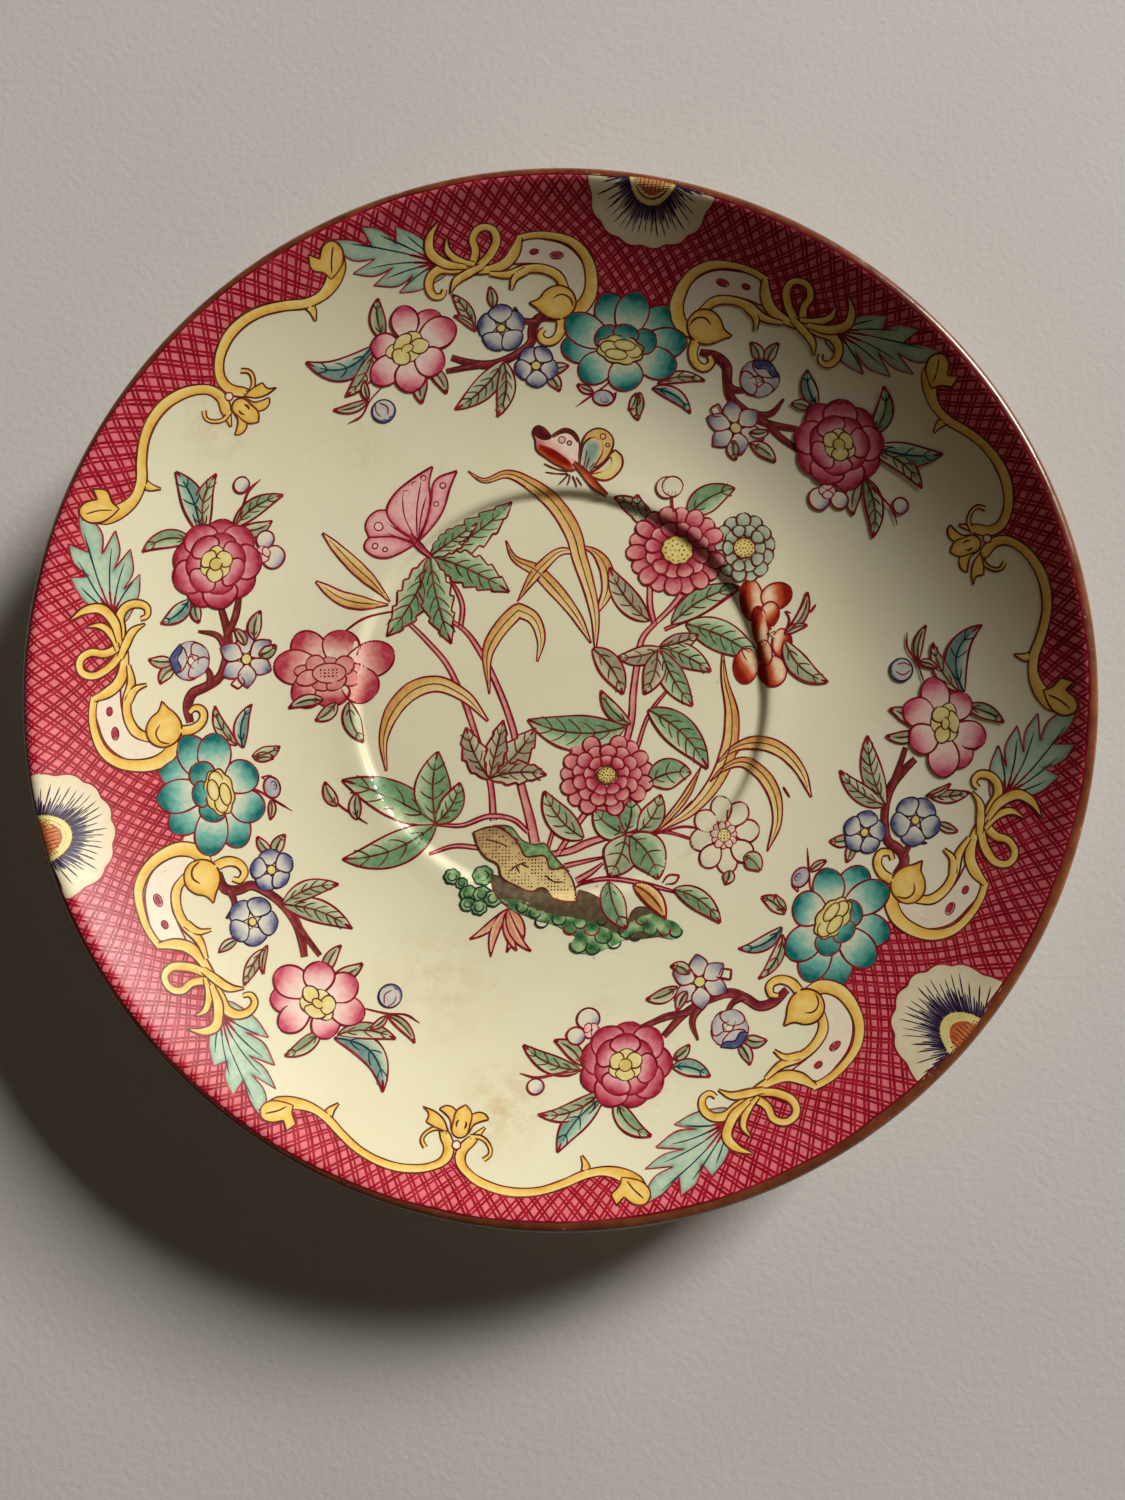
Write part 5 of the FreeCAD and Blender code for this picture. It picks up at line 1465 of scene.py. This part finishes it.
def make_bright_butterfly():
    piece = Piece("painted_butterfly_top", "rose_enamel", level=BASE_LIFT + 0.10)
    for path in ([(0.4, 31.3), (-1.5, 31.8), (-2.9, 32.5)], [(0.4, 31.0), (-1.2, 31.1), (-2.7, 31.3)],
                 [(0.5, 31.0), (-0.2, 30.2), (-0.9, 29.5)], [(0.7, 30.9), (0.6, 30.1), (0.3, 29.4)],
                 [(1.1, 30.7), (1.5, 29.8), (1.7, 29.1)], [(1.6, 30.5), (2.0, 29.9), (2.4, 29.3)]):
        ink(piece, path, 0.24, "ink_brown", (1.0, 0.6))
    patch(piece, [(3.3, 31.0), (5.5, 32.4), (6.5, 34.0), (7.1, 34.4), (8.0, 33.5), (8.1, 32.2), (7.3, 30.9),
                  (6.0, 30.1), (4.4, 30.3)], "straw", fade(0.65, 0.3))
    patch(piece, [(3.5, 30.9), (5.4, 32.3), (6.4, 33.4), (6.6, 32.5), (6.0, 31.6), (4.9, 31.2)], "pearl", 0.5,
          edge_width=0.22)
    patch(piece, [(2.2, 31.8), (2.3, 34.2), (2.6, 36.0), (3.3, 37.0), (4.6, 37.5), (6.0, 37.0), (6.8, 35.9),
                  (6.7, 34.6), (5.9, 33.2), (4.4, 32.0)], "grass", fade(0.75, 0.3), "ink_brown", 0.3)
    patch(piece, [(2.5, 31.4), (2.3, 33.8), (2.8, 35.5), (4.1, 36.2), (5.2, 35.5), (5.3, 34.2), (4.7, 32.9),
                  (3.4, 31.1)],
          "sky", lambda p, d: 0.15 + 0.6 * np.clip(d, 0, 1), "ink_brown", 0.26)
    for x, y, size in ((5.35, 36.3, 0.42), (6.0, 35.1, 0.32)):
        disc(piece, FIELD, (x, y), size, size, "grass", 0.5, "ink_brown", 0.2)
    for path in ([(2.6, 31.9), (2.9, 33.2), (3.1, 34.4)], [(3.0, 31.8), (3.5, 33.4)],
                 [(3.4, 31.6), (4.2, 32.6)]):
        ink(piece, path, 0.2, "ink_brown", (0.8, 0.3), DOME)
    left_wing = [(-4.4, 37.3), (-3.8, 37.9), (-3.2, 37.7), (-1.9, 36.3), (-1.0, 37.0), (0.0, 37.5),
                 (1.2, 37.1), (1.9, 36.2), (2.1, 35.0), (2.0, 33.5), (1.9, 32.0), (1.2, 31.5), (-0.6, 32.1),
                 (-2.5, 33.3), (-4.0, 34.6), (-4.1, 35.8)]
    tone = lambda p, d: np.clip(1.0 - 0.42 * (p[:, 0] * 0.64 + p[:, 1] * 0.77 - 24.2), 0.0, 1.0)
    patch(piece, left_wing, "shell", tone, "ink_brown", 0.3, grid=0.35)
    patch(piece, [(-4.0, 34.6), (-2.5, 33.3), (-0.6, 32.1), (1.2, 31.5), (1.2, 32.6), (0.0, 33.9),
                  (-1.7, 35.0), (-3.6, 35.6)],
          "rust", lambda p, d: 0.55 + 0.45 * np.clip(d / 0.6, 0, 1), None, grid=0.35)
    patch(piece, [(-4.4, 37.2), (-3.8, 37.9), (-3.2, 37.7), (-1.9, 36.1), (-2.6, 35.9), (-4.1, 36.6)], "bark",
          0.95, "ink_brown", 0.26)
    ink(piece, [(-1.7, 36.3), (-0.6, 37.0), (0.3, 37.1), (1.3, 36.6), (1.9, 35.5)], 0.6, "ink_brown",
        (0.6, 0.3), DOME)
    for x, y, size in ((-0.4, 35.85, 0.47), (0.65, 35.4, 0.36)):
        disc(piece, FIELD, (x, y), size, size, "shell", 0.3, "ink_brown", 0.2)
    bough(piece, FIELD, [(1.2, 32.6), (2.5, 31.4), (4.0, 29.6), (5.9, 27.9)], (0.5, 1.0, 1.0, 0.5), "rust",
          "ink_brown", 0.75)
    piece.build()


def make_rockwork():
    piece = Piece("painted_rockwork", "fan_enamel", level=BASE_LIFT + 0.10)
    hub = (-7.4, -29.8)
    for tip, bend in (((-12.6, -33.8), 0.06), ((-9.6, -36.3), -0.1), ((-7.4, -35.7), 0.12),
                      ((-6.0, -35.5), -0.1), ((-5.1, -34.0), 0.1), ((-4.0, -35.6), -0.12)):
        leaf(piece, FIELD, hub, tip, 1.2, "rust", bend, 0, vein=None, wash=(0.12, 0.12))
    for x, y, size in ((-15.2, -25.2, 1.2), (-13.9, -26.1, 0.9), (-10.9, -25.1, 1.5), (-12.9, -27.6, 1.3),
                       (-11.0, -27.7, 1.3), (-9.5, -28.3, 1.3), (-13.0, -29.0, 1.1), (-11.4, -29.5, 1.2)):
        disc(piece, FIELD, (x, y), size, size * 0.9, "moss",
             lambda p, d: 0.32 + 0.22 * np.sin(p[:, 0] * 2.9 + p[:, 1] * 1.3), "ink_green", 0.25, 7, 0.16)
        curl = np.radians(np.linspace(120, 400, 9) + rng.uniform(-40, 40))
        ink(piece, np.column_stack([x + size * 0.5 * np.cos(curl), y + size * 0.45 * np.sin(curl)]), 0.2,
            "ink_green", (0.5, 0.4), DOME)
    patch(piece, [(-9.8, -25.0), (-8.0, -25.6), (-6.3, -26.6), (-3.9, -27.5), (-2.4, -27.0), (0.0, -28.8),
                  (2.3, -28.8), (2.5, -27.3), (4.2, -27.8), (6.0, -28.8), (7.5, -30.0), (9.5, -31.5),
                  (10.5, -29.8), (12.0, -29.7), (14.0, -31.2), (16.2, -31.9), (17.2, -33.0), (14.0, -33.6),
                  (9.0, -34.0), (4.0, -34.0), (0.0, -32.0), (-4.5, -30.4), (-7.4, -29.3), (-9.2, -27.6)],
          "mound", 0.5, "ink_brown", 0.2)
    patch(piece, [(-8.4, -28.4), (-5.5, -28.6), (-3.0, -29.7), (0.0, -30.4), (3.0, -30.9), (6.0, -31.9),
                  (8.4, -33.2), (10.0, -31.4), (12.0, -30.4), (14.2, -31.1), (16.5, -32.0), (17.3, -33.0),
                  (16.3, -33.9), (14.0, -33.7), (11.0, -33.3), (8.5, -34.4), (6.6, -35.3), (4.4, -36.0),
                  (2.6, -35.8), (1.4, -34.9), (2.2, -33.6), (0.8, -32.8), (-1.0, -31.9), (-2.8, -31.5),
                  (-4.8, -30.7), (-7.0, -29.8)], "moss",
          lambda p, d: 0.45 + 0.5 * np.sin(p[:, 0] * 1.7) * np.sin(p[:, 1] * 2.1), None)
    for x, y, size in ((-5.4, -29.6, 0.8), (-3.6, -30.4, 0.8), (-2.6, -31.6, 0.9), (-0.2, -31.2, 1.0),
                       (1.4, -32.6, 0.9), (2.8, -31.8, 0.9), (4.4, -32.6, 1.1), (2.6, -34.8, 1.2),
                       (4.6, -35.2, 1.0), (6.0, -33.6, 1.2), (7.6, -34.4, 1.0), (9.2, -33.0, 1.0),
                       (10.6, -33.4, 0.9), (12.6, -32.8, 1.0), (14.6, -32.8, 0.9), (16.2, -33.0, 0.9),
                       (5.8, -31.6, 0.7), (11.4, -31.4, 0.8)):
        arc = np.radians(np.linspace(150, 380, 9) + rng.uniform(-25, 25))
        ink(piece, np.column_stack([x + size * np.cos(arc), y + size * 0.85 * np.sin(arc)]), 0.25,
            rng.choice(("ink_green", "ink_green", "ink_crimson")), (0.5, 0.4), DOME)
    rock = [(-12.4, -19.1), (-10.2, -18.5), (-8.3, -18.7), (-6.9, -19.9), (-6.0, -20.5), (-5.3, -22.0),
            (-4.3, -22.6), (-2.3, -22.3), (-1.5, -24.0), (0.0, -24.1), (1.2, -25.2), (1.9, -26.8),
            (2.1, -28.9), (0.3, -28.8), (-1.2, -28.2), (-2.5, -27.0), (-4.0, -27.3), (-6.5, -26.5),
            (-8.3, -25.4), (-8.9, -23.6), (-10.4, -22.8), (-11.5, -21.6)]
    tone = lambda p, d: 0.2 + 0.35 * np.exp(-d / 0.6) + 0.12 * np.clip(p[:, 1] + 24, -3, 4)
    patch(piece, rock, "rock", tone, "ink_brown", 0.27)
    ring = refine(rock, STEP, closed=True)
    xs, ys = np.meshgrid(np.arange(-12.4, 2.2, 0.46), np.arange(-28.6, -18.4, 0.46))
    spots = np.column_stack([xs.ravel(), ys.ravel()])
    spots = spots[inside(spots, ring)]
    spots = spots[edge_distance(spots, ring) > 0.35]
    dots(piece, [q for q in spots if rng.random() < 0.35 + 0.6 * math.sin(q[0] * 0.7 + q[1] * 0.5) ** 2],
         0.12, "ink_brown")
    patch(piece, [(-9.7, -18.3), (-7.3, -18.5), (-5.5, -20.4), (-4.0, -21.0), (-2.4, -20.9), (-1.5, -22.1),
                  (-0.3, -23.5), (1.2, -24.8), (0.0, -24.3), (-1.5, -24.4), (-2.3, -22.6), (-3.5, -22.5),
                  (-5.0, -22.6), (-5.8, -21.3), (-6.5, -20.3), (-8.0, -19.0)], "moss", 0.35, "ink_brown",
          0.27)
    for path in ([(-7.2, -24.6), (-6.2, -23.8), (-5.0, -23.4)], [(-6.4, -23.9), (-5.8, -24.9)],
                 [(-5.6, -23.6), (-4.6, -24.2)], [(-10.6, -20.2), (-9.0, -20.6), (-7.6, -21.2)],
                 [(-2.2, -25.2), (-1.2, -26.0), (0.4, -26.2)]):
        ink(piece, path, 0.25, "ink_brown", (0.6, 0.4), DOME + 0.005)
    piece.build()


def make_centre():
    make_stems()
    make_grasses()
    make_left_leaves()
    make_right_leaves()
    make_crimson_pompoms()
    make_blue_pompom()
    make_shell_flower()
    make_rust_flower()
    make_pearl_flower()
    make_pink_butterfly()
    make_bright_butterfly()
    make_rockwork()


# ---------------------------------------------------------------- rim band
BAND_START_RADIUS = 72.0            # the lip's section is read from here
BAND_SAMPLES = 140
BAND_SEGMENTS, BAND_ACROSS = 720, 12
BAND_BACK = 2.5                     # how far the band goes over the lip and down the back
BRUSH_KNOTS, BRUSH_DRIFT = 90, 0.10
BAND_LIFT, BAND_SWELL = 0.035, 0.045
EDGE_LINE_STROKES = 12


def make_rim():
    """The brown line brushed round the lip, its edges uneven and its width drifting."""
    low = int(np.argmin(np.abs(FINE[:LIP_TOP, 0] - BAND_START_RADIUS)))
    path = FINE[low:low + BAND_SAMPLES]
    normal = normals(path)
    along = np.concatenate([[0], np.cumsum(np.hypot(*np.diff(path, axis=0).T))])
    outward = normal if (normal[LIP_TOP - low] @ np.array([0, 1])) > 0 else -normal
    crown = along[LIP_TOP - low]
    segments, across = BAND_SEGMENTS, BAND_ACROSS
    angle = np.arange(segments) * TAU / segments
    knots = [rng.uniform(-BRUSH_DRIFT, BRUSH_DRIFT) for _ in range(BRUSH_KNOTS)]
    fine = np.interp(angle, np.linspace(0, TAU, BRUSH_KNOTS + 1), knots + knots[:1])
    visible = np.interp(np.degrees(angle), *zip(*BAND_WIDTHS)) + fine
    start = np.interp(RIM_RADIUS - visible, path[:WIDEST - low + 1, 0], along[:WIDEST - low + 1])
    stop = np.full(segments, crown + BAND_BACK) + np.roll(fine, 37)
    wide = visible / visible.max()
    verts, wash = [], []
    for i in range(segments):
        t = np.linspace(0, 1, across)
        s = start[i] + (stop[i] - start[i]) * t
        lift = BAND_LIFT + BAND_SWELL * np.sin(np.pi * t).clip(0) ** 0.5
        r = np.interp(s, along, path[:, 0]) + lift * np.interp(s, along, outward[:, 0])
        z = np.interp(s, along, path[:, 1]) + lift * np.interp(s, along, outward[:, 1])
        verts.append(np.column_stack([r * math.cos(angle[i]), r * math.sin(angle[i]), z]))
        wash.append(0.45 + 0.35 * np.cos(TAU * t) * 0.5 + 0.1 * wide[i])
    faces = []
    for i in range(segments):
        here, ahead = i * across, (i + 1) % segments * across
        faces += [(here + j, ahead + j, ahead + j + 1, here + j + 1) for j in range(across - 1)]
    mesh = bpy.data.meshes.new("rim_band")
    mesh.from_pydata((np.vstack(verts) * MM).tolist(), [], faces)
    mesh.materials.append(PAINT["rim_brown"])
    tone = mesh.attributes.new("wash", "FLOAT", "POINT")
    tone.data.foreach_set("value", np.concatenate(wash).astype(np.float32))
    shade_and_ride(bpy.data.objects.new("rim_band", mesh), ["rim_line"])
    edge = Piece("rim_edge_line", "trellis_ground", "border_ground", level=0.12)
    around = np.append(angle, angle[0])
    reach = np.append(RIM_RADIUS - visible, RIM_RADIUS - visible[0]) - 0.05
    run = segments // EDGE_LINE_STROKES
    for start in range(0, segments, run):
        part = slice(start, start + run + 1)
        line = np.column_stack([reach[part] * np.cos(around[part]), reach[part] * np.sin(around[part])])
        ink(edge, line, 0.24, "ink_crimson", (1.0, 1.0), smooth=False, wash=0.7)
    edge.build()


# ---------------------------------------------------------------- floor, light, camera
FLOOR_SIZE = 5.0                        # metres
WINDOW_PLACE = (1.42, 1.26, 1.10)       # metres from the saucer's middle
WINDOW_SIZE = (0.56, 0.56)
WINDOW_WATTS = 61.0
WINDOW_TINT = (1.0, 0.955, 0.90)
ROOM_TINT = (1.0, 0.80, 0.62, 1.0)
ROOM_STRENGTH = 0.046
LENS = 27.05                            # mm, on a sensor 36 mm along the frame's long side


def make_floor():
    """The pale cloth that the saucer stands on."""
    mesh = bpy.data.meshes.new("floor")
    ends = (-FLOOR_SIZE / 2, FLOOR_SIZE / 2)
    mesh.from_pydata([(x, y, 0.0) for x in ends for y in ends], [], [(0, 2, 3, 1)])
    material, tree, shader = new_material("pale_cloth")
    place = tree.nodes.new("ShaderNodeTexCoord").outputs["Object"]
    soft = noise(tree, place, 9, 3.0)
    colour = ramp(tree, soft, [(0.3, (202, 199, 196)), (0.7, (211, 208, 205))])
    tree.links.new(colour, shader.inputs["Base Color"])
    shader.inputs["Roughness"].default_value = 0.9
    shader.inputs["Specular IOR Level"].default_value = 0.15
    relief(tree, shader, noise(tree, place, 900, 4.0), 0.25, 0.0003)
    mesh.materials.append(material)
    floor = bpy.data.objects.new("floor", mesh)
    bpy.context.scene.collection.objects.link(floor)


def make_light():
    """One window and a dim warm room."""
    world = bpy.data.worlds.new("studio")
    world.use_nodes = True
    back = world.node_tree.nodes["Background"]
    back.inputs["Color"].default_value = ROOM_TINT
    back.inputs["Strength"].default_value = ROOM_STRENGTH
    bpy.context.scene.world = world
    light = bpy.data.lights.new("window", "AREA")
    light.shape = "RECTANGLE"
    light.size, light.size_y = WINDOW_SIZE
    light.energy = WINDOW_WATTS
    light.color = WINDOW_TINT
    window = bpy.data.objects.new("window", light)
    window.location = WINDOW_PLACE
    window.rotation_euler = (-Vector(WINDOW_PLACE)).to_track_quat("-Z", "Y").to_euler()
    bpy.context.scene.collection.objects.link(window)


def make_camera():
    """The photograph's view."""
    data = bpy.data.cameras.new("camera")
    data.lens = LENS
    data.sensor_width = 36.0
    data.clip_start, data.clip_end = 0.01, 10.0
    camera = bpy.data.objects.new("camera", data)
    camera.location = EYE * MM
    camera.rotation_euler = (*EYE_TILT, 0.0)
    bpy.context.scene.collection.objects.link(camera)
    bpy.context.scene.camera = camera
    bpy.context.scene.view_settings.view_transform = "Standard"


make_body()
make_border()
make_centre()
make_rim()
make_floor()
make_light()
make_camera()
